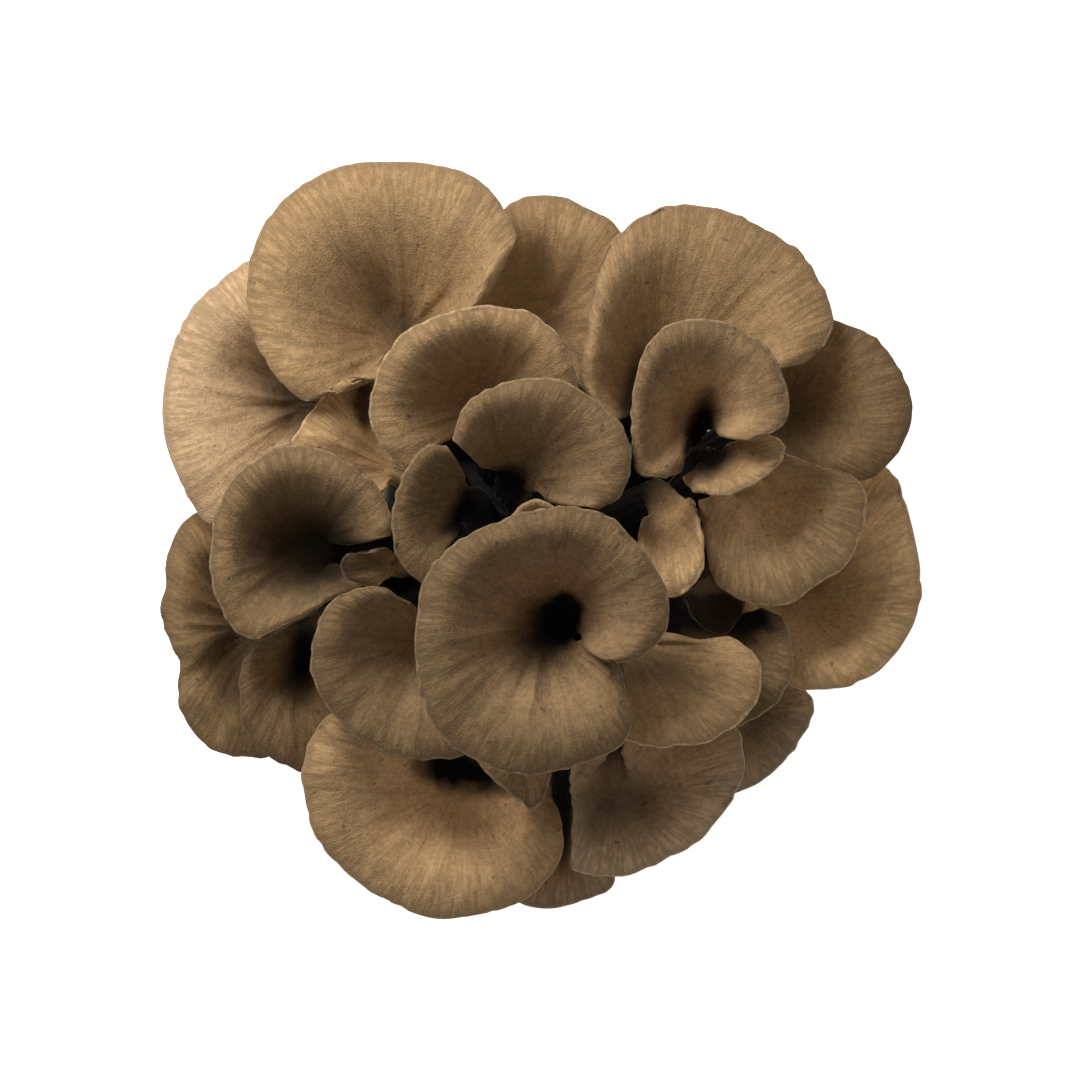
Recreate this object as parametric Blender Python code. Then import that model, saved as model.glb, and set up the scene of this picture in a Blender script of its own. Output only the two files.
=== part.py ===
"""A maitake mushroom as cut for sale: a rosette of fan and funnel caps on one fleshy butt.

+Z is up. The cut face of the butt lies on z = 0 with the origin at its middle, and +Y is the
side that is up when the cluster is seen from above. Sizes are millimetres up to the meshes.
"""

import math

import bpy
import numpy as np

MM = 0.001

# Caps: the thickness at the margin, and at the throat as a share of the stalk's radius. Near
# the margin the cap rolls down by a share of its reach. Its rows lie at CAP_SHARES of the way
# out from the throat. A cap that goes all round is a funnel, and a narrow one is a flat fan. The
# powers say how quickly it widens from the stalk's end and thins from the throat.
MARGIN_THICKNESS = 1.0
THROAT_THICKNESS_SHARE = 0.65
ROLL_SHARE = 0.09
ROLL_POWER = 6
COLUMN_SPACING = 6.8
FEWEST_COLUMNS = 8
CAP_SHARES = (0.0, 0.14, 0.38, 0.68, 0.9, 1.0)
FUNNEL_STEEPNESS = 2.3
FAN_STEEPNESS = 1.5
LEAST_FUNNEL = 0.25
MOST_FUNNEL = 0.9
NARROWING_POWER = 3
THINNING_POWER = 2
CURVE_STEPS = 12

# Stalks: a curve from the butt to just under the throat. Lengths are shares of its radius or
# of its own length, such as the foot that flares to the root. The half turns say how far round
# its end the cap's wall grows: nearly all round on an upright stalk, and on its outer side alone
# where the stalk leans out.
STALK_SHARES = (0.0, 0.3, 0.65, 1.0)
STALK_END_DROP = 1.2
STALK_BEND = 0.3
STALK_UPRIGHT = 0.7
ROOT_FLARE = 1.12
FLARE_SHARE = 0.5
ROOT_GAP = 0.6
LEAST_HALF_TURN = math.radians(80)
LEANING_HALF_TURN = math.radians(105)
UPRIGHT_HALF_TURN = math.radians(167)
LEANING_RISE = 0.78

# Butt: its top falls from the middle by BUTT_FALL times the radius squared. Its side is given
# as (radius, height), and its lobes as (how many, share of the radius, turn).
BUTT_TOP = 26.0
BUTT_FALL = 0.0075
BUTT_SIDE = ((26.0, 0.0), (30.0, 3.0), (36.0, 9.0))
BUTT_TOP_RADII = (40.0, 34.0, 25.0, 15.0, 7.0)
BUTT_SIDES = 30
BUTT_LOBES = ((3, 0.05, 0.6), (7, 0.025, 2.0))

CAP_COLOUR = (0.24, 0.15, 0.075, 1.0)
BUTT_COLOUR = (0.62, 0.52, 0.38, 1.0)

# Each cap has its name, its throat (x, y, z), the radius of its cup there, the place of its
# stalk on the butt, the stalk's radius, and its rim anticlockwise from above (x, y, z).
FRONDS = (
    dict(
        name="crown", throat=(2.6, -18.4, 62), cup=5.5, root=(2, -9), stalk=6.0,
        rim=((17.4, -27.4, 93), (22.9, -25.4, 94), (28.2, -17.7, 95), (25.7, -7.2, 96),
             (17.8, 3.4, 96), (10.8, 6.7, 96), (3.1, 7.4, 96), (-9, 4.5, 95), (-20, -1.7, 94),
             (-26, -9.6, 93), (-27.5, -22.1, 93), (-26, -35.3, 92), (-20, -44.6, 91),
             (-9, -50.1, 91), (0.9, -51.2, 91), (10.8, -48.3, 90), (17.4, -44.8, 89),
             (20.2, -38.6, 88), (18.8, -32.5, 86), (18.2, -28.5, 83),
             (16.8, -25.4, 80)),
    ),
    dict(
        name="inner_north", throat=(-6, 12, 58), cup=5.0, root=(-2, 7), stalk=4.5,
        rim=((13, 6.3, 80), (17.5, 9.4, 82), (19.8, 15.3, 84), (19.3, 21.9, 85),
             (15.6, 27.4, 86), (10.3, 31.6, 86), (4.2, 34.9, 86), (-4.6, 35.3, 85),
             (-11.2, 32.9, 84), (-16.3, 29.6, 83), (-18.5, 25.6, 82), (-19.4, 21.7, 81)),
    ),
    dict(
        name="inner_north_tip", throat=(-0.5, 2.5, 62), cup=2.0, root=(5, 1), stalk=2.2,
        rim=((3.6, 6.4, 69), (1.1, 8.2, 70), (-1.8, 8.8, 70), (-4.6, 7.6, 70),
             (-6.4, 5.0, 69)),
    ),
    dict(
        name="inner_west", throat=(-15, 8, 56), cup=3.5, root=(-11, 2), stalk=4.0,
        rim=((-20.5, 20.8, 79), (-24.4, 20.6, 80), (-28.8, 16.4, 80), (-31.5, 9.8, 79),
             (-32.6, 3.2, 78), (-31.9, -2.8, 77), (-29.5, -7.2, 76), (-25.5, -10, 75)),
    ),
    dict(
        name="inner_north_east", throat=(33.5, 26, 56), cup=4.0, root=(17, 14), stalk=4.2,
        rim=((46, 21.2, 79), (50.4, 22.8, 80), (53.5, 26.3, 80), (53.7, 32.9, 80),
             (50.4, 40.8, 80), (44.9, 45.2, 80), (37.6, 48.1, 80), (30.6, 47.9, 81),
             (25.1, 44.8, 81), (21.1, 37.7, 82), (20.2, 29.6, 82), (21, 21.9, 82),
             (22.3, 14, 80), (26.6, 12.9, 79), (31, 14.4, 72)),
    ),
    dict(
        name="inner_east_curl", throat=(37, 18.3, 54), cup=2.5, root=(22, 3.5), stalk=2.9,
        rim=((30.8, 13.8, 63), (33, 10.6, 72), (39.4, 9.4, 76), (45.5, 11.6, 76),
             (50.4, 14.9, 75), (52.8, 18.2, 73), (52.4, 22, 69), (47.5, 24, 65)),
    ),
    dict(
        name="inner_east", throat=(26.5, 10.3, 52), cup=3.0, root=(12, 4), stalk=3.5,
        rim=((20.5, -1.2, 69), (23.5, -9.4, 73), (27.9, -12.9, 74), (32.3, -11.1, 74),
             (35.4, -7.2, 74), (35.9, -1.2, 73), (35, 4.3, 68), (33.5, 8, 61)),
    ),
    dict(
        name="inner_south_east", throat=(22.2, -23.2, 52), cup=4.0, root=(15, -12), stalk=4.5,
        rim=((16.5, -43.5, 73), (22.9, -45.2, 75), (29.5, -45, 76), (36.1, -44.1, 76),
             (42.7, -40.6, 76), (47.1, -35.3, 75), (48.2, -28.8, 74), (46.3, -24, 72),
             (41.5, -20.8, 68)),
    ),
    dict(
        name="inner_south_west", throat=(-24.9, -22.1, 48), cup=4.0, root=(-10, -9),
        stalk=4.5,
        rim=((-29.6, -12.6, 68), (-35.4, -9.8, 73), (-42, -11.1, 74),
             (-47.3, -15.1, 74), (-49.9, -22.1, 74), (-50.2, -29.8, 73), (-46.4, -37.3, 72),
             (-40.9, -42.8, 72), (-33.2, -46.8, 71), (-25.5, -48.1, 71), (-17.8, -47.6, 70),
             (-13.4, -45.2, 69)),
    ),
    dict(
        name="middle_north", throat=(-11.9, 28.5, 48), cup=4.5, root=(-8, 17), stalk=4.5,
        rim=((8.1, 32.5, 72), (6.8, 38.4, 74), (3.3, 45, 75), (-3.5, 49.8, 76),
             (-13.4, 51.2, 76), (-22.2, 49.2, 76), (-29.9, 45.2, 76), (-34.5, 39.1, 75),
             (-37, 31.8, 74), (-37.2, 26.3, 73), (-35.2, 20.1, 72), (-30.4, 15.3, 70)),
    ),
    dict(
        name="middle_north_west", throat=(-31, 15, 43), cup=3.0, root=(-20, 11),
        stalk=3.5,
        rim=((-35, 34.2, 48.5), (-39.5, 36, 49.5), (-45, 34.5, 52), (-50.4, 28.5, 55),
             (-53, 24.5, 57), (-54.8, 21.2, 56), (-53, 16.5, 54), (-49.5, 11.5, 51)),
    ),
    dict(
        name="middle_west", throat=(-51.3, -3, 44), cup=5.5, root=(-26, 1), stalk=5.0,
        rim=((-32.4, 1.0, 68), (-32.3, 5.4, 69), (-35.4, 11.6, 70), (-40.9, 16.4, 71),
             (-47.5, 19.7, 71), (-54.8, 21.2, 70), (-61.4, 18.2, 69), (-67.3, 13.3, 67),
             (-71.1, 6.1, 66), (-72.4, -2.3, 65), (-71.5, -11.1, 65), (-68, -18.6, 65),
             (-63.1, -22.3, 65), (-57, -19.7, 65), (-50.8, -16.8, 65), (-44.7, -13.3, 63),
             (-41.5, -11.8, 60), (-38.5, -9.8, 56), (-37, -7.2, 54)),
    ),
    dict(
        name="middle_west_tongue", throat=(-31, -5.8, 56), cup=2.0, root=(-18, -3),
        stalk=2.8,
        rim=((-33.7, -1.2, 62), (-38.1, -2.5, 66), (-42, -3, 67), (-44, -5.8, 67),
             (-42.7, -8.7, 66), (-39.4, -10.2, 64), (-36, -11, 61)),
    ),
    dict(
        name="middle_east", throat=(44.9, 12, 44), cup=4.0, root=(32, 5), stalk=4.5,
        rim=((33.8, 8.2, 56), (35.6, -1.2, 63), (37.8, -9.6, 65), (44.9, -13.8, 65),
             (53.7, -14.4, 64), (60.3, -9.8, 63), (67.5, -5, 61), (70.4, 2.1, 60),
             (71.5, 9.8, 60), (68, 14.2, 61), (60.3, 16.6, 62), (55.2, 18.4, 62),
             (50, 20.5, 60)),
    ),
    dict(
        name="middle_east_small", throat=(38.3, -6.8, 43), cup=2.5, root=(25, -5.5), stalk=3.0,
        rim=((30.6, -12.5, 50), (32.8, -17.5, 53), (36.7, -20.6, 54.5), (41, -20.3, 55.5),
             (44.4, -15.4, 55), (45.6, -12, 53)),
    ),
    dict(
        name="middle_south_east", throat=(35, -22, 38), cup=3.5, root=(25, -14), stalk=4.0,
        rim=((38.3, -41.5, 61), (42.2, -41.3, 62), (47.5, -38.8, 62), (51.7, -35.3, 61),
             (54.6, -30.3, 60), (55.2, -24.8, 59), (54.1, -19.9, 58), (52.1, -16.4, 57),
             (48.2, -14.6, 56)),
    ),
    dict(
        name="middle_south_small", throat=(-3.5, -46.3, 56), cup=2.0, root=(0, -19),
        stalk=2.5,
        rim=((-14.5, -47.5, 63), (-11.9, -50.6, 65), (-9, -53.4, 66), (-5.7, -56.2, 66), (-2, -58.9, 66),
             (0.9, -56.2, 66), (2.4, -51.2, 65)),
    ),
    dict(
        name="outer_north_west", throat=(-30.4, 43.5, 38), cup=5.0, root=(-16, 24),
        stalk=5.0,
        rim=((-15.6, 47.2, 56), (-10.8, 53.1, 61), (-7.3, 60.4, 63), (-5.3, 67, 62),
             (-8.6, 73.6, 61), (-14.5, 79.5, 60), (-22.9, 82.4, 59), (-33.2, 83, 58),
             (-43.1, 82.2, 58), (-51.9, 77.8, 58), (-59.2, 71, 58), (-63.4, 62.2, 59),
             (-64.5, 52.7, 60), (-62.5, 43.5, 61), (-57.9, 35.1, 62), (-52.4, 30.5, 62),
             (-48.2, 30.3, 62), (-42, 34, 61), (-37, 34, 59.5), (-32.5, 33.8, 56)),
    ),
    dict(
        name="outer_north", throat=(-0.5, 46, 33), cup=4.0, root=(2, 26), stalk=4.0,
        rim=((10.5, 31.5, 39), (13.5, 34.5, 41), (16.5, 41, 45), (18, 51, 49), (19.1, 62.6, 51),
             (16.3, 69.4, 52), (8.6, 73.4, 52), (0.9, 75.4, 52), (-6.4, 74, 51),
             (-10.8, 69.2, 50), (-14.5, 61.9, 48), (-17, 54, 46), (-15, 47, 43)),
    ),
    dict(
        name="outer_north_east", throat=(25.1, 32.5, 40), cup=5.0, root=(14, 25), stalk=4.5,
        rim=((58, 38.2, 60), (62.6, 43, 61), (63.8, 48.7, 61), (61.4, 56, 60),
             (55.9, 63.5, 59), (47.1, 69.2, 59), (38.3, 72.5, 59), (28.8, 73.2, 60),
             (20.7, 69.9, 61), (14.3, 63.7, 63), (11.2, 54.9, 65), (9.7, 45, 66),
             (7.9, 36.2, 67), (10.8, 30.3, 67), (15.2, 25.2, 66)),
    ),
    dict(
        name="outer_east_upper", throat=(51, 26.5, 32), cup=3.5, root=(30, 15), stalk=4.5,
        rim=((52.5, 11, 40), (59, 10, 44), (66.9, 12.2, 50), (72.8, 13.5, 52), (76.8, 16.8, 53),
             (80.5, 22.8, 53), (81.6, 29.6, 53), (79, 37.3, 53), (74.1, 43.5, 53),
             (68, 46.8, 52), (62.5, 48.7, 51), (55, 48, 48), (47, 44, 44)),
    ),
    dict(
        name="outer_east_lower", throat=(54.8, -13.3, 28), cup=3.5, root=(34, -8), stalk=4.5,
        rim=((43, -14, 36), (43.5, -20, 38), (47, -27, 42), (54.8, -32.4, 48),
             (60.3, -33.1, 49), (66.9, -32.4, 49), (73.5, -29.2, 48), (79.4, -23, 47),
             (83.4, -15.1, 46), (83.6, -7.8, 46), (82.1, 1, 45), (79.8, 9.5, 45),
             (77.6, 14.5, 44.5), (74, 17, 43.5), (69, 16.5, 42.5)),
    ),
    dict(
        name="outer_south_east", throat=(41.6, -35.3, 28), cup=3.0, root=(22, -25),
        stalk=4.0,
        rim=((40.5, -55.6, 44), (43.8, -55.3, 45), (48.6, -52.9, 45), (53.5, -48.5, 45),
             (57, -43.7, 44), (59.4, -39.3, 43), (60, -36.2, 41.5), (58.6, -33.4, 40.5),
             (55.9, -30.5, 39)),
    ),
    dict(
        name="outer_south", throat=(15.6, -52.5, 42), cup=4.5, root=(9, -25), stalk=5.0,
        rim=((15.5, -41.5, 46), (11.5, -43.5, 47), (8.2, -47.5, 50), (6.6, -52, 56),
             (6.4, -58.4, 62), (6.2, -66.1, 63),
             (7, -71.8, 62), (13, -73.8, 61), (20.7, -72.9, 61), (27.9, -69.9, 61),
             (35, -65.5, 60), (40.7, -58.6, 59), (44, -51.8, 57), (44.5, -45, 55),
             (43, -41, 53), (38.5, -38.5, 50), (31, -37.5, 48), (25, -37, 46), (20, -38.5, 45)),
    ),
    dict(
        name="outer_south_low", throat=(4.6, -57.3, 30), cup=3.0, root=(1, -33), stalk=3.5,
        rim=((-6, -61, 38), (-10, -70, 41), (-8.5, -77.5, 44), (-4.2, -80.2, 46),
             (2, -81.1, 47), (8.6, -79.5, 47), (14.5, -77.1, 46), (16.5, -73.4, 45),
             (15, -67, 42), (13.5, -63, 38)),
    ),
    dict(
        name="outer_south_west", throat=(-17.2, -52.3, 37), cup=7.5, root=(-9, -25),
        stalk=5.5,
        rim=((-20, -36, 48), (-28, -34, 51), (-36, -35, 57), (-46, -37.5, 62),
             (-50.4, -42.6, 62), (-52.4, -50.7, 61), (-51.3, -60, 60), (-47.5, -67.9, 59),
             (-40.9, -74.3, 58), (-32.1, -80.2, 57), (-23.3, -83.3, 57), (-14.5, -82.6, 57),
             (-5.7, -80.2, 57), (0.9, -75.6, 57), (4.4, -69.4, 57), (5.1, -64.4, 57),
             (4.3, -60, 55.5), (2, -54.5, 53), (-1.5, -50.8, 51)),
    ),
    dict(
        name="outer_west_inner", throat=(-51.9, -25.4, 36), cup=3.5, root=(-26, -15),
        stalk=4.0,
        rim=((-47, -15, 44), (-53, -17.5, 50), (-61.4, -22.1, 55), (-65.3, -26.5, 56),
             (-66.2, -33.6, 56), (-64.9, -40.8, 56), (-61.2, -46.3, 56), (-56.3, -49.2, 55),
             (-51.9, -50.7, 53), (-47, -48, 50), (-43, -43, 47), (-40.5, -37.5, 45)),
    ),
    dict(
        name="outer_west_lower", throat=(-61.4, -18.8, 28), cup=3.8, root=(-34, -9),
        stalk=4.5,
        rim=((-64, 5, 40), (-70, 6.9, 43), (-75.7, 6.1, 45), (-79.9, 2.1, 46),
             (-82.5, -4.5, 46), (-82.5, -9.6, 46), (-83.8, -15.1, 46), (-82.5, -21, 46),
             (-79.4, -27.6, 45), (-79.9, -31.8, 44), (-79.2, -38, 46), (-75, -44.1, 46),
             (-68.9, -47.4, 46), (-60.1, -47.6, 45), (-57.9, -45.2, 44)),
    ),
    dict(
        name="outer_west_upper", throat=(-49.1, 29.6, 32), cup=4.0, root=(-29, 17),
        stalk=4.5,
        rim=((-50, 58, 45), (-58, 61.5, 48), (-64, 61.5, 49), (-71.1, 56.2, 50),
             (-77.2, 50.1, 50), (-81.2, 41.7, 50), (-83.2, 30.7, 51), (-82.7, 21.9, 51),
             (-80.1, 14.6, 51), (-76.1, 7.2, 51), (-72.4, 3.2, 51), (-62, 3, 48),
             (-55, 6, 45)),
    ),
)


def smooth_curve(points):
    """Closely spaced points along a Catmull-Rom curve through the given ones."""
    first = 2 * points[0] - points[1]
    last = 2 * points[-1] - points[-2]
    knots = np.vstack([first, points, last])
    t = np.linspace(0, 1, CURVE_STEPS, endpoint=False)[:, None]
    spans = []
    for a, b, c, d in zip(knots, knots[1:], knots[2:], knots[3:]):
        square = 2 * a - 5 * b + 4 * c - d
        cube = 3 * b - a - 3 * c + d
        spans.append(0.5 * (2 * b + (c - a) * t + square * t**2 + cube * t**3))
    return np.vstack(spans + [points[-1:]])


def evenly_spaced(curve):
    """The curve's points at even spacing, as many as COLUMN_SPACING asks for."""
    steps = np.linalg.norm(np.diff(curve, axis=0), axis=1)
    along = np.concatenate([[0.0], np.cumsum(steps)])
    count = max(FEWEST_COLUMNS, round(along[-1] / COLUMN_SPACING) + 1)
    wanted = np.linspace(0, along[-1], count)
    return np.column_stack([np.interp(wanted, along, curve[:, k]) for k in range(3)])


def turn_of(rim, throat):
    """The middle direction of a cap from its throat and half the turn that it spans."""
    out = rim[:, :2] - throat[:2]
    angles = np.unwrap(np.arctan2(out[:, 1], out[:, 0]))
    return (angles[0] + angles[-1]) / 2, (angles[-1] - angles[0]) / 2


def cap_top(frond, rim, half_turn, cup_half_turn):
    """Rows of points on a cap's upper side, from its throat out to its rolled margin."""
    throat = np.array(frond["throat"], float)
    funnel = np.clip(half_turn / math.pi, LEAST_FUNNEL, MOST_FUNNEL)
    steepness = FAN_STEEPNESS + (FUNNEL_STEEPNESS - FAN_STEEPNESS) * funnel
    out = rim[:, :2] - throat[:2]
    reach = np.linalg.norm(out, axis=1)
    angle = np.unwrap(np.arctan2(out[:, 1], out[:, 0]))
    middle = (angle[0] + angle[-1]) / 2
    narrowed = min(1.0, cup_half_turn / half_turn)
    rows = []
    for share in CAP_SHARES:
        distance = frond["cup"] + (reach - frond["cup"]) * share
        spread = 1 - (1 - narrowed) * (1 - share) ** NARROWING_POWER
        turned = middle + (angle - middle) * spread
        heading = np.column_stack([np.cos(turned), np.sin(turned)])
        risen = 1 - (1 - share) ** steepness
        roll = ROLL_SHARE * reach * share**ROLL_POWER
        height = throat[2] + (rim[:, 2] - throat[2]) * risen - roll
        rows.append(np.column_stack([throat[:2] + heading * distance[:, None], height]))
    return np.array(rows)


def cap_under(top, throat_thickness):
    """The cap's lower side: each point of the upper side moved in by the thickness there."""
    outward = np.gradient(top, axis=0)
    across = np.gradient(top, axis=1)
    normal = np.cross(outward, across)
    normal /= np.linalg.norm(normal, axis=2, keepdims=True)
    normal[-1] = normal[-2]
    normal[:, 0] = normal[:, 1]
    normal[:, -1] = normal[:, -2]
    left = (1 - np.array(CAP_SHARES)) ** THINNING_POWER
    thickness = MARGIN_THICKNESS + (throat_thickness - MARGIN_THICKNESS) * left
    return top - normal * thickness[:, None, None]


def butt_height(radius):
    """Height of the butt's domed top at a distance from its middle."""
    return BUTT_TOP - BUTT_FALL * radius**2


def unit(vector):
    """The vector at a length of one."""
    return vector / np.linalg.norm(vector)


def stalk_ends(frond):
    """Where a stalk leaves the butt, and the direction, half upright, that it comes to the throat."""
    root = np.array(frond["root"], float)
    start = np.array([*root, butt_height(np.linalg.norm(root)) + ROOT_GAP])
    throat = np.array(frond["throat"], float)
    return start, unit(unit(throat - start) + np.array([0, 0, STALK_UPRIGHT]))


def stalk_path(frond):
    """Bezier points from the butt to just under the throat."""
    start, arriving = stalk_ends(frond)
    leaving = unit(np.array([*(2 * BUTT_FALL * start[:2]), 1.0]))
    end = np.array(frond["throat"], float) - STALK_END_DROP * frond["stalk"] * arriving
    bend = STALK_BEND * np.linalg.norm(end - start)
    return start, start + bend * leaving, end - bend * arriving, end


def cup_turn(frond, half_turn):
    """Half the turn that the cap's wall takes round the stalk's end."""
    rise = stalk_ends(frond)[1][2]
    upright = np.clip((rise - LEANING_RISE) / (1 - LEANING_RISE), 0, 1)
    most = LEANING_HALF_TURN + (UPRIGHT_HALF_TURN - LEANING_HALF_TURN) * upright
    return min(half_turn, most)


def stalk_loops(frond, columns, middle, cup_half_turn):
    """Closed loops up the stalk: the points under the cap's upper side, then the others."""
    heading = np.array([math.cos(middle), math.sin(middle)])
    a, b, c, d = stalk_path(frond)
    half = max(cup_half_turn, LEAST_HALF_TURN)
    step = np.linspace(0, 1, columns)
    front = -half - step * (2 * math.pi - 2 * half)
    back = half - step * 2 * half
    angle = np.concatenate([front, back])
    forward = np.array([*heading, 0.0])
    loops = []
    for t in STALK_SHARES[::-1]:
        centre = (1 - t)**3 * a + 3 * t * (1 - t)**2 * b + 3 * t**2 * (1 - t) * c + t**3 * d
        along = (1 - t)**2 * (b - a) + 2 * t * (1 - t) * (c - b) + t**2 * (d - c)
        along = unit(along)
        forward = unit(forward - forward.dot(along) * along)
        sideways = np.cross(along, forward)
        radius = frond["stalk"] * (ROOT_FLARE + (1 - ROOT_FLARE) * min(t / FLARE_SHARE, 1.0))
        ring = centre + radius * (
            np.cos(angle)[:, None] * forward + np.sin(angle)[:, None] * sideways
        )
        if t == 0.0:
            ring[:, 2] = butt_height(np.linalg.norm(ring[:, :2], axis=1)) + ROOT_GAP
        loops.insert(0, ring)
    return loops


def split_alike(loops, columns):
    """Triangles of a loft through closed loops, cut alike on its upper and lower sides."""
    count = 2 * columns
    faces = []
    for low in range(len(loops) - 1):
        for here in range(count):
            ahead = (here + 1) % count
            a = low * count + here
            b = (low + 1) * count + here
            c = (low + 1) * count + ahead
            d = low * count + ahead
            upper = here < columns
            faces += [(a, b, c), (a, c, d)] if upper else [(a, b, d), (b, c, d)]
    return faces


def end_faces(start, columns, outward):
    """Triangles that close the loop which starts at this index, from side to side."""
    faces = []
    for here in range(columns - 1):
        a = start + here
        b = start + 2 * columns - 1 - here
        faces += [(a, b, b - 1), (a, b - 1, a + 1)]
    return faces if outward else [face[::-1] for face in faces]


def frond_mesh(frond):
    """One closed mesh from the foot of a stalk to the margin of its cap."""
    throat = np.array(frond["throat"], float)
    rim = evenly_spaced(smooth_curve(np.array(frond["rim"], float)))
    columns = len(rim)
    middle, half_turn = turn_of(rim, throat)
    cup_half_turn = cup_turn(frond, half_turn)
    top = cap_top(frond, rim, half_turn, cup_half_turn)
    under = cap_under(top, THROAT_THICKNESS_SHARE * frond["stalk"])
    loops = stalk_loops(frond, columns, middle, cup_half_turn)
    loops += [np.vstack([above, below[::-1]]) for above, below in zip(top, under)]
    faces = split_alike(loops, columns)
    faces += end_faces(0, columns, outward=False)
    faces += end_faces((len(loops) - 1) * 2 * columns, columns, outward=True)
    return np.vstack(loops), faces


def butt_mesh():
    """The cut butt: a lobed foot that swells from its flat cut face to a domed top."""
    angle = np.linspace(0, 2 * math.pi, BUTT_SIDES, endpoint=False)
    lobes = 1 + sum(size * np.sin(count * angle + turn) for count, size, turn in BUTT_LOBES)
    rings = []
    for radius, height in BUTT_SIDE:
        reach = radius * lobes
        rings.append((reach, np.full(BUTT_SIDES, height)))
    for radius in BUTT_TOP_RADII:
        reach = radius * (1 + (lobes - 1) * radius / BUTT_TOP_RADII[0])
        rings.append((reach, butt_height(reach)))
    points = [
        np.column_stack([reach * np.cos(angle), reach * np.sin(angle), height])
        for reach, height in rings
    ]
    points = np.vstack(points + [np.array([[0, 0, 0], [0, 0, BUTT_TOP]])])
    foot, crest = len(points) - 2, len(points) - 1
    last = (len(rings) - 1) * BUTT_SIDES
    faces = []
    for here in range(BUTT_SIDES):
        ahead = (here + 1) % BUTT_SIDES
        faces += [(foot, ahead, here), (crest, last + here, last + ahead)]
        for low in range(0, last, BUTT_SIDES):
            high = low + BUTT_SIDES
            faces += [(low + here, low + ahead, high + ahead)]
            faces += [(low + here, high + ahead, high + here)]
    return points, faces


def material(name, colour, roughness):
    """A plain matte surface."""
    made = bpy.data.materials.new(name)
    made.use_nodes = True
    shader = made.node_tree.nodes["Principled BSDF"]
    shader.inputs["Base Color"].default_value = colour
    shader.inputs["Roughness"].default_value = roughness
    shader.inputs["Metallic"].default_value = 0.0
    return made


def add_object(collection, name, points, faces, colour, roughness):
    """One named object with its own material, in metres."""
    mesh = bpy.data.meshes.new(name)
    mesh.from_pydata((points * MM).tolist(), [], faces)
    mesh.materials.append(material(name, colour, roughness))
    mesh.shade_smooth()
    mesh.set_sharp_from_angle(angle=math.radians(60))
    made = bpy.data.objects.new(name, mesh)
    collection.objects.link(made)
    return made


def main():
    """Clear the scene and build the cluster."""
    for old in list(bpy.data.objects):
        bpy.data.objects.remove(old, do_unlink=True)
    collection = bpy.data.collections.new("maitake_mushroom")
    bpy.context.scene.collection.children.link(collection)
    points, faces = butt_mesh()
    add_object(collection, "butt", points, faces, BUTT_COLOUR, 0.85)
    for frond in FRONDS:
        points, faces = frond_mesh(frond)
        add_object(collection, "frond_" + frond["name"], points, faces, CAP_COLOUR, 0.9)


main()
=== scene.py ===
"""The looks of the maitake cluster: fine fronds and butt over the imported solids, light and camera.

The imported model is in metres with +Z up, and the photograph looks straight down on it with +Y at
the top. Sizes here are millimetres up to the meshes, and a wave's length is half the real one.
"""

from collections import namedtuple
from math import cos, exp, pi, radians, sin, sqrt

import bpy
import numpy as np
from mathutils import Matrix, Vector
from mathutils.bvhtree import BVHTree
from numpy.linalg import norm

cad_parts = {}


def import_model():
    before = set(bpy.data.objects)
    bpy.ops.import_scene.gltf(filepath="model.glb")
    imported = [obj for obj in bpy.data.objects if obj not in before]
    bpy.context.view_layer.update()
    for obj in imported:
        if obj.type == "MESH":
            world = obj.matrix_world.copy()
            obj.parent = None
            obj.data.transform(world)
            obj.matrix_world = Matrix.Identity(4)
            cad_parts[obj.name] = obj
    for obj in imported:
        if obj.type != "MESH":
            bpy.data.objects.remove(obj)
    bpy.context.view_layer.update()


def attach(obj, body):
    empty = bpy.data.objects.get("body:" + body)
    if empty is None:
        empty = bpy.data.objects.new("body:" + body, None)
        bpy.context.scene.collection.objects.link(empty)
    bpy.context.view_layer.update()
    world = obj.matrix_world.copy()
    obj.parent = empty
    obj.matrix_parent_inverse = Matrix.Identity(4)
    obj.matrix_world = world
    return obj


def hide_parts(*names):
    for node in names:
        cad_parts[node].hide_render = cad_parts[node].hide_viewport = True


MM = 0.001
TINY = 1e-9

# The photograph's view: straight down, through a lens so long that it hardly narrows with depth
FRAME_WIDTH = 235.3
FRAME_CENTRE = (-0.22, -0.11)
FRAME_HEIGHT = 60.0
CAMERA_DISTANCE = 6000.0
SENSOR = 36.0

# How finely the meshes are made
COLUMN_SPACING = 1.0
ROW_SPACING = 1.1
LEAST_ROWS = 10
TRIED_ROWS = 200
STALK_ROWS = 9
JOINING_ROWS = 5
MARGIN_ROWS = 3
EDGE_COLUMNS = 3
CURVE_STEPS = 24
BUTT_COLUMNS = 260
BUTT_ROWS = 70

# Caps and stalks, as in the solids
MARGIN_THICKNESS = 1.0
THROAT_THICKNESS_SHARE = 0.65
THINNING_POWER = 2
ROLL_SHARE = 0.09
ROLL_POWER = 6
FUNNEL_STEEPNESS = 2.3
FAN_STEEPNESS = 1.5
FUNNEL_RANGE = (0.25, 0.9)
NARROWING_POWER = 3
STALK_END_DROP = 1.2
STALK_BEND = 0.3
STALK_UPRIGHT = 0.7
ROOT_FLARE = 1.12
FLARE_SHARE = 0.5
LEAST_HALF_TURN = radians(80)
LEANING_RISE = 0.78

# How far a leaning and an upright cup go round at most, further than in the solids
LEANING_HALF_TURN = radians(145)
UPRIGHT_HALF_TURN = radians(170)

# Half the gap between a stalk's two sides at a seam, and how the stalk spreads into the butt
SEAM_HALF_TURN = 0.05
ROOT_SPREAD = 0.25
ROOT_SPREAD_HEIGHT = 4.0
ROOT_SINK = 1.5

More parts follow.
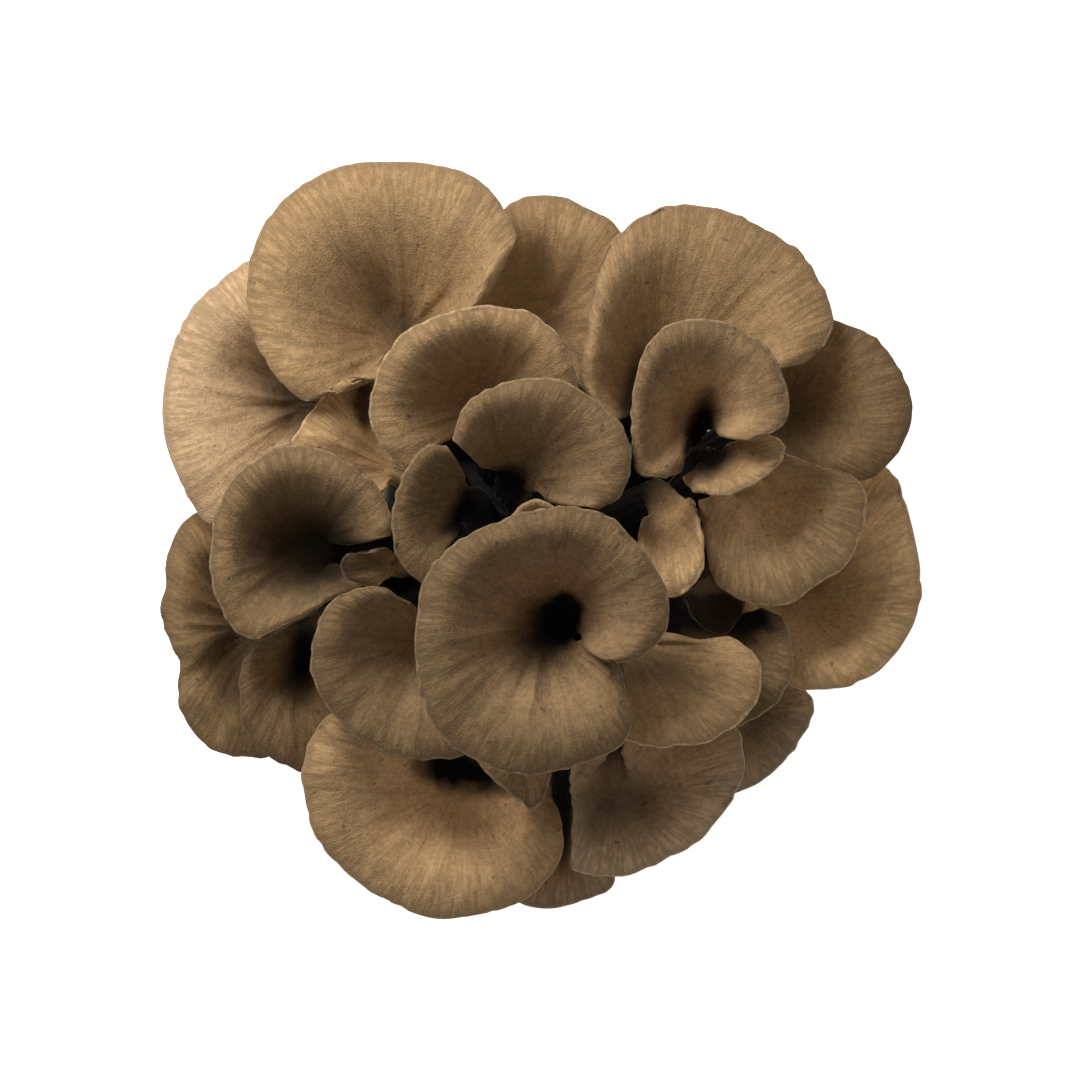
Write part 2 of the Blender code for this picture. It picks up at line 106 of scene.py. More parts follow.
# Butt, as in the solid: radii of the cut face, radius and height up the side, and radii on the top
BUTT_TOP = 26.0
BUTT_FALL = 0.0075
BUTT_CUT = (0.5, 12.0, 24.5)
BUTT_SIDE = ((30.0, 3.0), (36.0, 9.0))
BUTT_DOME = (40.0, 34.0, 25.0, 15.0, 7.0, 0.5)
BUTT_LOBES = ((3, 0.05, 0.6), (7, 0.025, 2.0))

# Lumps and knobs of the butt: depth, their circle in the noise (radius and place), and how tall
BUTT_LUMPS = ((1.8, 4.0, 31.0, 7.0), (0.7, 11.0, 57.0, 2.6))
LUMPS_FROM = (0.2, 4.0)
CUT_UP_TO = (0.0, 0.4)

# Noise that all relief is made from, and how far its waves are moved from frond to frond
NOISE_SEED = 11
NOISE_SIZE = 256
NICK_SHIFT = 40
DIP_SHIFT = 80
RIDGE_SHIFT = 17.3
FIBRE_SHIFT = 37.0

# The rim: waves and nicks (size, length), dips (depth, length), how far it stands out from the
# solid's, and how far in where it nears the cluster's box
RIM_WAVE = (0.22, 7.0)
RIM_NICK = (0.28, 1.9)
RIM_DIP = (1.2, 14.0)
RIM_OUT = 0.15
CROWDED_IN = 0.15
BOX_EDGE = (74.0, 83.0)

# Folds: depth, length round the rim and towards the throat, and how far each frond's are moved
FOLD = (1.5, 11.0, 18.0, 7.3)
THROAT_FOLD = (1.6, 8.0, 30.0, 3.1)

# Shares of the way out where folds set in, where throat folds are full and end, and where all
# turn straight up; and the reach from which a cap's folds are at their full depth
FOLD_SHARES = (0, 0.2)
THROAT_FOLD_SHARES = (0.05, 0.25, 0.75)
LEVEL_SHARES = (0.6, 0.9)
FULL_FOLD_REACH = 28.0

# How deep the rolled margin droops, and over what distance from the rim
MARGIN_DROP = (1.2, 5.0)

# Ridges of the skin and grooves of the stalk: size, length round and along; and the shares of the
# way out over which ridges set in and a cap's side edges round out
RIDGES = ((0.45, 3.6, 16.0), (0.2, 1.6, 9.0))
STALK_GROOVE = (0.3, 3.0, 18.0)
RIDGE_SHARES = (0.0, 0.3)
BULGE_SHARES = (0, 0.15)

# Where brown skin goes on round an edge: how far from the margin and from the sides of a cap, the
# least share of the way out that the sides count with, and how far up the stalk it starts
MARGIN_WRAP = (0.5, 1.6)
SIDE_WRAP = (2.0, 6.0)
WIDE_SIDE_WRAPS = {"outer_north_west": (22.0, 26.0)}
LEAST_WRAP_SHARE = 0.35
STALK_BROWN = (0.7, 1.0)
SKINNED_EDGE = 0.3

# Where the painted shade of the cluster's inside and of the mouths falls: how far up a surface
# faces, and the distance from the middle up to which it is inside
FACING_UP = (-0.05, 0.3)
MOUTH_SHADE_FACING = (-0.15, 0.15)
INSIDE = (48.0, 66.0)
INSIDE_FACING = (-0.3, 0.1)
BUTT_INSIDE = (34.0, 41.0)

# Painted shade of the cluster's depth: openness from rays off a coarse net of points, and the
# openness over which skin, flesh and butt darken to near-black
SHADE_STEP = 5
SHADE_NET = 3
SHADE_RAYS = 64
SHADE_LIFT = 0.8
SHADE_REACH = 120.0
SKIN_SHADE_OPENNESS = (-0.08, 0.08)
FLESH_SHADE_OPENNESS = (-0.25, 0.35)
BUTT_SHADE_OPENNESS = (0.0, 0.3)

# Caps that are darker or paler than the others: partly their own colour, partly painted light and
# painted shade for how lit each cap is
TONES_AND_PAINTED_LIGHT = dict(
    crown=0.56, inner_north=0.67, inner_north_tip=0.95, inner_west=0.58, inner_north_east=0.71,
    inner_east_curl=1.06, inner_east=1.3, inner_south_east=1.12, inner_south_west=0.58,
    middle_north=0.98, middle_north_west=1.45, middle_west=0.68, middle_west_tongue=0.68,
    middle_east_small=0.5, middle_south_east=0.58, middle_south_small=0.68,
    outer_north_west=1.07, outer_north=0.92, outer_north_east=0.95, outer_east_upper=0.64,
    outer_east_lower=1.45, outer_south_east=1.05, outer_south=1.28, outer_south_low=0.93,
    outer_south_west=1.1, outer_west_inner=0.48, outer_west_lower=0.66, outer_west_upper=1.5,
)

# Caps with painted light towards the throat, against the shade there: how many times lighter the
# skin is there, over what shares of the way out, and how much of its colour it loses for that
THROAT_PAINTED_LIGHT = dict(
    crown=1.8, inner_north_east=2.1, inner_south_west=1.4, middle_east=1.8, outer_south=1.3,
    outer_south_west=2.0, outer_west_inner=1.6,
)
THROAT_LIGHT_SHARES = (0.1, 0.75)
THROAT_LIGHT_GREYING = 0.04

# Caps whose colour is greyer than the others, as a share of its full strength
GREYS = dict(outer_south=0.88, outer_south_east=0.78, outer_south_low=0.85, outer_west_upper=0.9)

# How clear the margin's pale line is, on the outer caps and on the most shaded one, whose line is
# dimmed as painted shade, and on the others
OUTER_LINE = 0.12
INNER_LINE = 0.7
SHADED_CAP = "middle_east_small"

# How deep the folds of these caps are, and the wrinkles of these, against the others
FOLDS = dict(outer_west_lower=2.2, outer_west_upper=1.3)
WRINKLES = dict(inner_south_west=1.5, outer_west_inner=1.9, outer_west_lower=2.6)

# Painted shade of the dark mouths: the caps they show on, where they are, half their size along
# and across, how far they turn, how dark they are, how soft their edges are at least and at most,
# and the softest side
PAINTED_MOUTH_SHADES = (
    ("crown", (2.3, -19.2), (8.7, 5.8), 57, 0.99, 0.1, 0.9, 225),
    ("inner_north inner_west inner_north_tip",
     (-11.6, 8.4), (10.8, 5.4), 38, 1, 0.12, 0.35, 150),
    ("inner_north_east", (34.6, 22.8), (9.2, 3.1), 78, 1, 0.22, 0.5, 80),
    ("inner_east_curl", (37.2, 17.6), (5.6, 2.7), 25, 0.95, 0.3, 0.6, 290),
    ("inner_south_east", (27, -28.5), (9.5, 4), -8, 0.65, 0.9, 1, 270),
    ("outer_north_east", (20.2, 32.6), (9.5, 2.4), 76, 0.85, 0.4, 0.9, 160),
    ("outer_north_west", (-31.8, 48.4), (13, 4.4), 125, 0.65, 0.9, 1, 125),
    ("outer_west_upper", (-53.5, 31), (12, 6.5), 130, 0.85, 0.8, 1, 135),
    ("middle_north_west", (-38.5, 29.6), (5.2, 2.5), 95, 0.85, 0.2, 0.4, 180),
    ("middle_west middle_west_tongue", (-49, -2.6), (11, 8.6), -12, 0.85, 0.5, 0.8, 150),
    ("outer_west_inner", (-52, -25.5), (9.5, 4.2), 80, 1, 0.4, 0.8, 230),
    ("outer_west_lower", (-64, -27), (16, 7.5), 100, 0.75, 0.7, 0.9, 180),
    ("outer_south_west", (-17, -51.2), (11, 4.6), -12, 1, 0.25, 0.6, 270),
    ("outer_south", (17.5, -58), (9.5, 5.6), 20, 0.72, 0.8, 1, 240),
    ("outer_south_low", (4.6, -57.5), (12.5, 3.2), 90, 1, 0.3, 0.5, 270),
    ("middle_south_east", (40, -16.8), (12.8, 4.6), -6, 1, 0.2, 0.5, 270),
    ("middle_east_small", (38, -16.8), (16, 5), -6, 0.85, 0.2, 0.5, 270),
    ("outer_east_upper", (55, 24), (11, 5.5), 80, 0.6, 0.9, 1, 0),
    ("outer_east_lower", (60, -5), (18, 7), 60, 0.35, 0.9, 1, 330),
    ("outer_south_east", (46.5, -38.5), (10, 5.5), 45, 0.6, 0.9, 1, 315),
    ("inner_east", (21.5, 8.5), (8.5, 4.5), 70, 0.85, 0.8, 1, 340),
)
MOUTH_SHADE_WAVE = (0.12, 2.5)

# Colours, as linear red, green and blue
SKIN_LIGHT = (0.48, 0.304, 0.148, 1)
SKIN_MIDDLE = (0.35, 0.218, 0.104, 1)
SKIN_DARK = (0.24, 0.146, 0.068, 1)
SKIN_GREY = (0.22, 0.145, 0.078, 1)
# Near-black of the skin's specks, and of the painted shade in the cluster's depths and mouths
SPECK_AND_SHADE_BLACK = (0.0055, 0.0045, 0.004, 1)
MARGIN_PALE = (0.56, 0.38, 0.2, 1)
PORE_LIGHT = (0.72, 0.62, 0.45, 1)
PORE_WARM = (0.6, 0.46, 0.29, 1)
PORE_DARK = (0.36, 0.27, 0.17, 1)
STALK_WHITE = (0.76, 0.69, 0.56, 1)
STALK_SHADE = (0.55, 0.44, 0.31, 1)
BUTT_CREAM = (0.66, 0.55, 0.4, 1)
BUTT_BROWN = (0.32, 0.21, 0.12, 1)
CUT_CREAM = (0.8, 0.73, 0.6, 1)
CUT_SHADE = (0.62, 0.52, 0.38, 1)
FLOOR_COLOUR = (0.9, 0.9, 0.9, 1)
WHITE = (1, 1, 1, 1)

# Patterns along the fibres: how often they change round, along and from frond to frond, detail and
# roughness; and patterns in place: how often they change in a metre, detail and roughness
FIBRE_PATTERNS = dict(
    streak=((1.0, 0.17, 1.0), 3.0, 0.6),
    band=((0.3, 0.05, 1.0), 2.0, 0.5),
    torn=((0.5, 0.4, 1.0), 3.0, 0.6),
    threads=((1.4, 0.12, 1.0), 3.0, 0.6),
)
PLACE_PATTERNS = dict(
    grain=(900.0, 2.0, 0.6),
    fuzz=(2400.0, 2.0, 0.6),
    blotch=(330.0, 2.0, 0.6),
    patch=(80.0, 3.0, 0.55),
    speck=(420.0, 1.0, 0.5),
)
PORES_PER_METRE = 2600.0

# Layers of the skin's colour from first to last: a pattern, its values where the layer starts and
# is full, the layer's least and most share, and its colour
SKIN_LAYERS = (
    ("streak", 0.32, 0.68, 0.14, 0.86, SKIN_LIGHT),
    ("patch", 0.36, 0.64, 0.2, 0.75, SKIN_MIDDLE),
    ("blotch", 0.52, 0.72, 0.0, 0.45, SKIN_LIGHT),
    ("blotch", 0.48, 0.28, 0.0, 0.45, SKIN_DARK),
    ("band", 0.5, 0.7, 0.0, 0.5, SKIN_GREY),
    ("grain", 0.5, 0.7, 0.0, 0.4, SKIN_LIGHT),
    ("grain", 0.5, 0.3, 0.0, 0.5, SKIN_DARK),
    ("fuzz", 0.55, 0.75, 0.0, 0.35, MARGIN_PALE),
    ("speck", 0.3, 0.2, 0.0, 0.5, SPECK_AND_SHADE_BLACK),
)

# Towards the margin: distances over which the painted shade of the furrows, the greyer rim and
# the pale line come in, and how many millimetres a torn pattern moves the rim and the line
FURROW_SHADE_FROM = (12.0, 1.5)
RIM_FROM = (3.2, 1.3)
LINE_FROM = (1.1, 0.6)
RIM_TORN = 2.5
LINE_TORN = 1.6

# Bumps: distance in metres and strength; roughness: a pattern's least and most, and what it gives
CAP_BUMP = (0.0004, 0.4)
BUTT_BUMP = (0.0006, 0.7)
FUZZ_SHARE = 0.28
MATT = (0.3, 0.7, 0.75, 0.88)
FLOOR_MATT = 0.9

FLOOR_SIZE = 6000.0
FLOOR_DROP = 0.05
FLOOR_GLOW = 0.75
WORLD_LIGHT = 0.30
LIGHT_PLACE = (-210, 330, 380)
LIGHT_SIZE = 300
LIGHT_POWER = 2.85

# Each cap has its name, its throat (x, y, z), the radius of its cup there, the place of its
# stalk on the butt, the stalk's radius, and its rim anticlockwise from above (x, y, z).
Frond = namedtuple("Frond", "name throat cup root stalk rim")
FRONDS = [Frond(*row) for row in (
    ("crown", (2.6, -18.4, 62), 5.5, (2, -9), 6, ((17.4, -27.4, 93), (22.9, -25.4, 94),
     (28.2, -17.7, 95), (25.7, -7.2, 96), (17.8, 3.4, 96), (10.8, 6.7, 96), (3.1, 7.4, 96),
     (-9, 4.5, 95), (-20, -1.7, 94), (-26, -9.6, 93), (-27.5, -22.1, 93), (-26, -35.3, 92),
     (-20, -44.6, 91), (-9, -50.1, 91), (0.9, -51.2, 91), (10.8, -48.3, 90), (17.4, -44.8, 89),
     (20.2, -38.6, 88), (18.8, -32.5, 86), (18.2, -28.5, 83), (16.8, -25.4, 80))),
    ("inner_north", (-6, 12, 58), 5, (-2, 7), 4.5, ((13, 6.3, 80), (17.5, 9.4, 82),
     (19.8, 15.3, 84), (19.3, 21.9, 85), (15.6, 27.4, 86), (10.3, 31.6, 86), (4.2, 34.9, 86),
     (-4.6, 35.3, 85), (-11.2, 32.9, 84), (-16.3, 29.6, 83), (-18.5, 25.6, 82), (-19.4, 21.7, 81))),
    ("inner_north_tip", (-0.5, 2.5, 62), 2, (5, 1), 2.2, ((3.6, 6.4, 69), (1.1, 8.2, 70),
     (-1.8, 8.8, 70), (-4.6, 7.6, 70), (-6.4, 5, 69))),
    ("inner_west", (-15, 8, 56), 3.5, (-11, 2), 4, ((-20.5, 20.8, 79), (-24.4, 20.6, 80),
     (-28.8, 16.4, 80), (-31.5, 9.8, 79), (-32.6, 3.2, 78), (-31.9, -2.8, 77), (-29.5, -7.2, 76),
     (-25.5, -10, 75))),
    ("inner_north_east", (33.5, 26, 56), 4, (17, 14), 4.2, ((46, 21.2, 79), (50.4, 22.8, 80),
     (53.5, 26.3, 80), (53.7, 32.9, 80), (50.4, 40.8, 80), (44.9, 45.2, 80), (37.6, 48.1, 80),
     (30.6, 47.9, 81), (25.1, 44.8, 81), (20.8, 37.7, 82), (19.6, 29.6, 82), (19.4, 21.9, 82),
     (20.9, 14, 80), (26.6, 12.9, 79), (31, 14.4, 72))),
    ("inner_east_curl", (37, 18.3, 54), 2.5, (22, 3.5), 2.9, ((30.8, 13.8, 63), (33, 10.6, 72),
     (39.4, 9.4, 76), (45.5, 11.6, 76), (50.4, 14.9, 75), (52.8, 18.2, 73), (52.4, 22, 69),
     (47.5, 24, 65))),
    ("inner_east", (26.5, 10.3, 52), 5, (12, 4), 3.5, ((20.5, -1.2, 69), (23.5, -9.4, 73),
     (27.9, -12.9, 74), (32.3, -11.1, 74), (35.4, -7.2, 74), (35.9, -1.2, 73), (35, 4.3, 68),
     (33.5, 8, 61))),
    ("inner_south_east", (19.8, -22.8, 52), 4, (15, -12), 4.5, ((14.6, -43.2, 73),
     (22.9, -45.2, 75), (29.5, -45, 76), (36.1, -44.1, 76), (42.7, -40.6, 76), (47.1, -35.3, 75),
     (48.2, -28.8, 74), (46.3, -24, 72), (41.5, -20.8, 68))),
    ("inner_south_west", (-24.9, -22.1, 48), 4, (-10, -9), 4.5, ((-29.6, -12.6, 68),
     (-35.4, -9.8, 73), (-42, -11.1, 74), (-47.3, -15.1, 74), (-49.9, -22.1, 74),
     (-50.2, -29.8, 73), (-46.4, -37.3, 72), (-40.9, -42.8, 72), (-33.2, -46.8, 71),
     (-25.5, -48.1, 71), (-17.8, -47.6, 70), (-13.4, -45.2, 69))),
    ("middle_north", (-11.9, 28.5, 48), 4.5, (-8, 17), 4.5, ((8.1, 32.5, 72), (6.8, 38.4, 74),
     (3.3, 45, 75), (-3.5, 49.8, 76), (-13.4, 51.2, 76), (-22.2, 49.2, 76), (-29.9, 45.2, 76),
     (-34.5, 39.1, 75), (-37, 31.8, 74), (-37.2, 26.3, 73), (-35.2, 20.1, 72), (-30.4, 15.3, 70))),
    ("middle_north_west", (-31, 15, 43), 3, (-20, 11), 3.5, ((-33.6, 35.6, 48.5),
     (-39.5, 36.8, 49.5), (-45, 34.5, 52), (-50.4, 28.5, 55), (-53, 24.5, 57), (-54.8, 21.2, 56),
     (-53, 16.5, 54), (-49.5, 11.5, 51), (-43.5, 8.5, 50), (-38, 8.5, 49))),
    ("middle_west", (-51.3, -3, 44), 5.5, (-26, 1), 5, ((-32.4, 1, 68), (-32.3, 5.4, 69),
     (-35.4, 11.6, 70), (-40.9, 16.4, 71), (-47.5, 19.7, 71), (-54.8, 21.2, 70), (-61.4, 18.2, 69),
     (-67.3, 13.3, 67), (-71.1, 6.1, 66), (-72.4, -2.3, 65), (-71.5, -11.1, 65), (-68, -18.6, 65),
     (-63.1, -22.3, 65), (-57, -19.7, 65), (-50.8, -16.8, 65), (-44.7, -13.3, 63),
     (-41.5, -11.8, 60), (-38.5, -9.8, 56), (-37, -7.2, 54))),
    ("middle_west_tongue", (-31, -5.8, 56), 2, (-18, -3), 2.8, ((-33.7, -1.2, 62),
     (-38.1, -2.5, 66), (-42, -3, 67), (-44, -5.8, 67), (-42.7, -8.7, 66), (-39.4, -10.2, 64),
     (-36, -11, 61))),
    ("middle_east", (44.9, 12, 44), 4, (32, 5), 4.5, ((33.8, 8.2, 56), (35.6, -1.2, 63),
     (37.8, -9.6, 65), (44.9, -13.8, 65), (53.7, -14.4, 64), (60.3, -9.8, 63), (67.5, -5, 61),
     (70.4, 2.1, 60), (71.5, 9.8, 60), (68, 14.2, 61), (60.3, 16.6, 62), (55.2, 18.4, 62),
     (50, 20.5, 60))),
    ("middle_east_small", (38.3, -6.8, 43), 2.5, (25, -5.5), 3, ((30.6, -12.5, 50),
     (32.8, -17.5, 53), (36.7, -20.6, 54.5), (41, -20.3, 55.5), (44.4, -15.4, 55),
     (45.6, -12, 53))),
    ("middle_south_east", (35, -22, 38), 3.5, (25, -14), 4, ((38.3, -41.5, 61), (42.2, -41.3, 62),
     (47.5, -38.8, 62), (51.7, -35.3, 61), (54.6, -30.3, 60), (55.2, -24.8, 59), (54.1, -19.9, 58),
     (52.1, -16.4, 57), (48.2, -14.6, 56))),
    ("middle_south_small", (-3.5, -46.3, 56), 2, (0, -19), 2.5, ((-14.5, -47.5, 63),
     (-11.9, -50.6, 65), (-9, -53.4, 66), (-5.7, -56.2, 66), (-2, -58.9, 66), (0.9, -56.2, 66),
     (2.4, -51.2, 65))),
    ("outer_north_west", (-30.4, 43.5, 38), 5, (-16, 24), 5, ((-15.6, 47.2, 56), (-10.8, 53.1, 61),
     (-7.3, 60.4, 63), (-5.3, 67, 62), (-8.6, 73.6, 61), (-14.5, 79.5, 60), (-22.9, 82.4, 59),
     (-33.2, 83, 58), (-43.1, 82.2, 58), (-51.9, 77.8, 58), (-59.2, 71, 58), (-63.4, 62.2, 59),
     (-64.5, 52.7, 60), (-62.5, 43.5, 61), (-57.9, 35.1, 62), (-52.4, 30.5, 62), (-48.2, 30.3, 62),
     (-42, 34, 61), (-37, 34, 59.5), (-32.5, 33.8, 56))),
    ("outer_north", (-0.5, 46, 33), 4, (2, 26), 4, ((10.5, 31.5, 39), (13.5, 34.5, 41),
     (16.5, 41, 45), (18, 51, 49), (19.1, 62.6, 51), (16.3, 69.4, 52), (8.6, 73.4, 52),
     (0.9, 75.4, 52), (-6.4, 74, 51), (-10.8, 69.2, 50), (-14.5, 61.9, 48), (-17, 54, 46),
     (-15, 47, 43))),
    ("outer_north_east", (25.1, 32.5, 40), 5, (14, 25), 4.5, ((58, 38.2, 60), (62.6, 43, 61),
     (63.8, 48.7, 61), (61.4, 56, 60), (55.9, 63.5, 59), (47.1, 69.2, 59), (38.3, 72.5, 59),
     (28.8, 73.2, 60), (20.7, 69.9, 61), (14.3, 63.7, 63), (11.2, 54.9, 65), (9.7, 45, 66),
     (7.9, 36.2, 67), (10.8, 30.3, 67), (15.2, 25.2, 66))),
    ("outer_east_upper", (51, 26.5, 32), 3.5, (30, 15), 4.5, ((52.5, 11, 40), (59, 10, 44),
     (66.9, 12.2, 50), (72.8, 13.5, 52), (76.8, 16.8, 53), (80.5, 22.8, 53), (81.6, 29.6, 53),
     (79, 37.3, 53), (74.1, 43.5, 53), (68, 46.8, 52), (62.5, 48.7, 51), (55, 48, 48),
     (47, 44, 44))),
    ("outer_east_lower", (54.8, -13.3, 28), 3.5, (34, -8), 4.5, ((43, -14, 36), (43.5, -20, 38),
     (47, -27, 42), (54.8, -32.4, 48), (60.3, -33.1, 49), (66.9, -32.4, 49), (73.5, -29.2, 48),
     (79.4, -23, 47), (83.4, -15.1, 46), (83.6, -7.8, 46), (82.1, 1, 45), (79.8, 9.5, 45),
     (77.6, 14.5, 44.5), (74, 17, 43.5), (69, 16.5, 42.5))),
    ("outer_south_east", (41.6, -35.3, 28), 3, (22, -25), 4, ((40.5, -55.6, 44), (43.8, -55.3, 45),
     (48.6, -52.9, 45), (53.5, -48.5, 45), (57, -43.7, 44), (59.4, -39.3, 43), (60, -36.2, 41.5),
     (58.6, -33.4, 40.5), (55.9, -30.5, 39))),
    ("outer_south", (15.6, -52.5, 42), 4.5, (9, -25), 5, ((15.5, -41.5, 46), (10.8, -43.2, 47),
     (7.2, -47.2, 50), (6, -52, 56), (6.4, -58.4, 62), (6.2, -66.1, 63), (7, -71.8, 62),
     (13, -73.8, 61), (20.7, -72.9, 61), (27.9, -69.9, 61), (35, -65.5, 60), (40.7, -58.6, 59),
     (44, -51.8, 57), (44.5, -45, 55), (43, -41, 53), (38.5, -38.5, 50), (31, -37.5, 48),
     (25, -37, 46), (20, -38.5, 45))),
    ("outer_south_low", (4.6, -57.3, 30), 3, (1, -33), 3.5, ((-6, -61, 38), (-10, -70, 41),
     (-8.5, -77.5, 44), (-4.2, -80.2, 46), (2, -81.1, 47), (8.6, -79.5, 47), (14.5, -77.1, 46),
     (16.5, -73.4, 45), (15, -67, 42), (13.5, -63, 38))),
    ("outer_south_west", (-17.2, -52.3, 37), 7.5, (-9, -25), 5.5, ((-20, -36, 48), (-28, -34, 51),
     (-36, -35, 57), (-46, -37.5, 62), (-50.4, -42.6, 62), (-52.4, -50.7, 61), (-51.3, -60, 60),
     (-47.5, -67.9, 59), (-40.9, -74.3, 58), (-32.1, -80.2, 57), (-23.3, -83.3, 57),
     (-14.5, -82.6, 57), (-5.7, -80.2, 57), (0.9, -75.6, 57), (4.4, -69.4, 57), (5.1, -64.4, 57),
     (4.3, -60, 55.5), (2, -54.5, 53), (-1.5, -50.8, 51))),
    ("outer_west_inner", (-51.9, -25.4, 36), 3.5, (-26, -15), 4, ((-45.3, -15, 44),
     (-53, -17.5, 50), (-61.4, -22.1, 55), (-65.3, -26.5, 56), (-66.2, -33.6, 56),
     (-64.9, -40.8, 56), (-61.2, -46.3, 56), (-56.3, -49.2, 55), (-51.9, -50.7, 53), (-47, -48, 50),
     (-43, -43, 47), (-40.5, -37.5, 45))),
    ("outer_west_lower", (-61.4, -18.8, 28), 3.8, (-34, -9), 4.5, ((-64, 5, 40), (-70, 6.9, 43),
     (-75.7, 6.1, 45), (-79.9, 2.1, 46), (-82.5, -4.5, 46), (-82.5, -9.6, 46), (-83.8, -15.1, 46),
     (-82.5, -21, 46), (-79.4, -27.6, 45), (-79.9, -31.8, 44), (-79.2, -38, 46), (-75, -44.1, 46),
     (-68.9, -47.4, 46), (-60.1, -47.6, 45), (-57.9, -45.2, 44))),
    ("outer_west_upper", (-49.1, 29.6, 32), 4, (-29, 17), 4.5, ((-50, 58, 45), (-58, 61.5, 48),
     (-64, 61.5, 49), (-71.1, 56.2, 50), (-77.2, 50.1, 50), (-81.2, 41.7, 50), (-83.2, 30.7, 51),
     (-82.7, 21.9, 51), (-80.1, 14.6, 51), (-76.1, 7.2, 51), (-72.4, 3.2, 51), (-62, 3, 48),
     (-55, 6, 45))),
)]

VALUES = np.random.default_rng(NOISE_SEED).uniform(-1, 1, (NOISE_SIZE, NOISE_SIZE))


def smoothstep(low, high, value):
    """A soft step from 0 at low to 1 at high."""
    t = np.clip((value - low) / (high - low), 0, 1)
    return t * t * (3 - 2 * t)


def plane_noise(x, y):
    """Smooth noise from -1 to 1 over a plane, its waves about two units long."""
    x, y = np.broadcast_arrays(x, y)
    left, low = np.floor(x).astype(int), np.floor(y).astype(int)
    across, up = smoothstep(0, 1, x - left), smoothstep(0, 1, y - low)
    steps = ((0, 0), (0, 1), (1, 0), (1, 1))
    a, b, c, d = [VALUES[(left + i) % NOISE_SIZE, (low + j) % NOISE_SIZE] for i, j in steps]
    near = a + (c - a) * across
    far = b + (d - b) * across
    return near + (far - near) * up


def dips(depth, x, y):
    """Smooth dips below a surface, down to this depth."""
    return depth * (plane_noise(x, y) - 1) / 2


def unit(vector):
    """Vectors at a length of one, along their last axis."""
    length = norm(vector, axis=-1, keepdims=True)
    return vector / np.maximum(length, TINY)


def smooth_curve(points):
    """Closely spaced points along a Catmull-Rom curve through the given ones."""
    knots = np.vstack([2 * points[0] - points[1], points, 2 * points[-1] - points[-2]])
    t = np.linspace(0, 1, CURVE_STEPS, endpoint=False)[:, None]
    spans = []
    for a, b, c, d in zip(knots, knots[1:], knots[2:], knots[3:]):
        square = 2 * a - 5 * b + 4 * c - d
        cube = 3 * b - a - 3 * c + d
        spans.append(0.5 * (2 * b + (c - a) * t + square * t**2 + cube * t**3))
    return np.vstack(spans + [points[-1:]])


def distances(curve):
    """How far along a curve each of its points lies."""
    steps = norm(np.diff(curve, axis=0), axis=1)
    return np.concatenate([[0.0], np.cumsum(steps)])


def fine_rim(frond, seed):
    """Evenly spaced points along the wavy rim, and how far along each one lies."""
    curve = smooth_curve(np.array(frond.rim, float))
    along = distances(curve)
    wanted = np.linspace(0, along[-1], round(along[-1] / COLUMN_SPACING) + 1)
    rim = np.column_stack([np.interp(wanted, along, curve[:, k]) for k in range(3)])
    out = unit(rim[:, :2] - frond.throat[:2])
    wave = RIM_WAVE[0] * plane_noise(wanted / RIM_WAVE[1], seed)
    wave += RIM_NICK[0] * plane_noise(wanted / RIM_NICK[1], seed + NICK_SHIFT)
    crowded = smoothstep(*BOX_EDGE, np.abs(rim[:, :2]).max(axis=1))
    wave += RIM_OUT * (1 - crowded) - crowded * (np.maximum(wave, 0) + CROWDED_IN)
    rim[:, :2] += out * (wave - MARGIN_THICKNESS / 2)[:, None]
    rim[:, 2] += dips(RIM_DIP[0], wanted / RIM_DIP[1], seed + DIP_SHIFT)
    return rim, wanted


def butt_height(radius):
    """Height of the butt's domed top at a distance from its middle."""
    return BUTT_TOP - BUTT_FALL * radius**2


def stalk_ends(frond):
    """Where a stalk leaves the butt, and the half upright way it comes to the throat."""
    start = np.array([*frond.root, butt_height(norm(frond.root))])
    return start, unit(unit(frond.throat - start) + (0, 0, STALK_UPRIGHT))


class Fan:
    """How one cap spreads round its throat: each column's direction, reach and height."""

    def __init__(self, frond, rim):
        self.throat = frond.throat
        self.cup = frond.cup
        out = rim[:, :2] - self.throat[:2]
        self.reach = norm(out, axis=1)
        self.angle = np.unwrap(np.arctan2(out[:, 1], out[:, 0]))
        self.middle = (self.angle[0] + self.angle[-1]) / 2
        self.half_turn = (self.angle[-1] - self.angle[0]) / 2
        self.height = rim[:, 2]
        rise = stalk_ends(frond)[1][2]
        upright = np.clip((rise - LEANING_RISE) / (1 - LEANING_RISE), 0, 1)
        most = LEANING_HALF_TURN + (UPRIGHT_HALF_TURN - LEANING_HALF_TURN) * upright
        self.cup_half_turn = min(self.half_turn, most)

    def top(self, shares):
        """Rows of points on the upper side at these shares of the way out."""
        funnel = np.clip(self.half_turn / pi, *FUNNEL_RANGE)
        steepness = FAN_STEEPNESS + (FUNNEL_STEEPNESS - FAN_STEEPNESS) * funnel
        share = shares[:, None]
        distance = self.cup + (self.reach - self.cup) * share
        narrowed = self.cup_half_turn / self.half_turn
        spread = 1 - (1 - narrowed) * (1 - share) ** NARROWING_POWER
        turned = self.middle + (self.angle - self.middle) * spread
        risen = 1 - (1 - share) ** steepness
        roll = ROLL_SHARE * self.reach * share**ROLL_POWER
        height = self.throat[2] + (self.height - self.throat[2]) * risen - roll
        x = self.throat[0] + np.cos(turned) * distance
        y = self.throat[1] + np.sin(turned) * distance
        return np.stack([x, y, height], axis=2)

    def even_shares(self):
        """Shares of the way out about ROW_SPACING apart along the middle of the cap."""
        tried = np.linspace(0, 1, TRIED_ROWS)
        along = distances(self.top(tried)[:, len(self.reach) // 2])
        rows = max(LEAST_ROWS, round(along[-1] / ROW_SPACING))
        return np.interp(np.linspace(0, along[-1], rows + 1), along, tried)


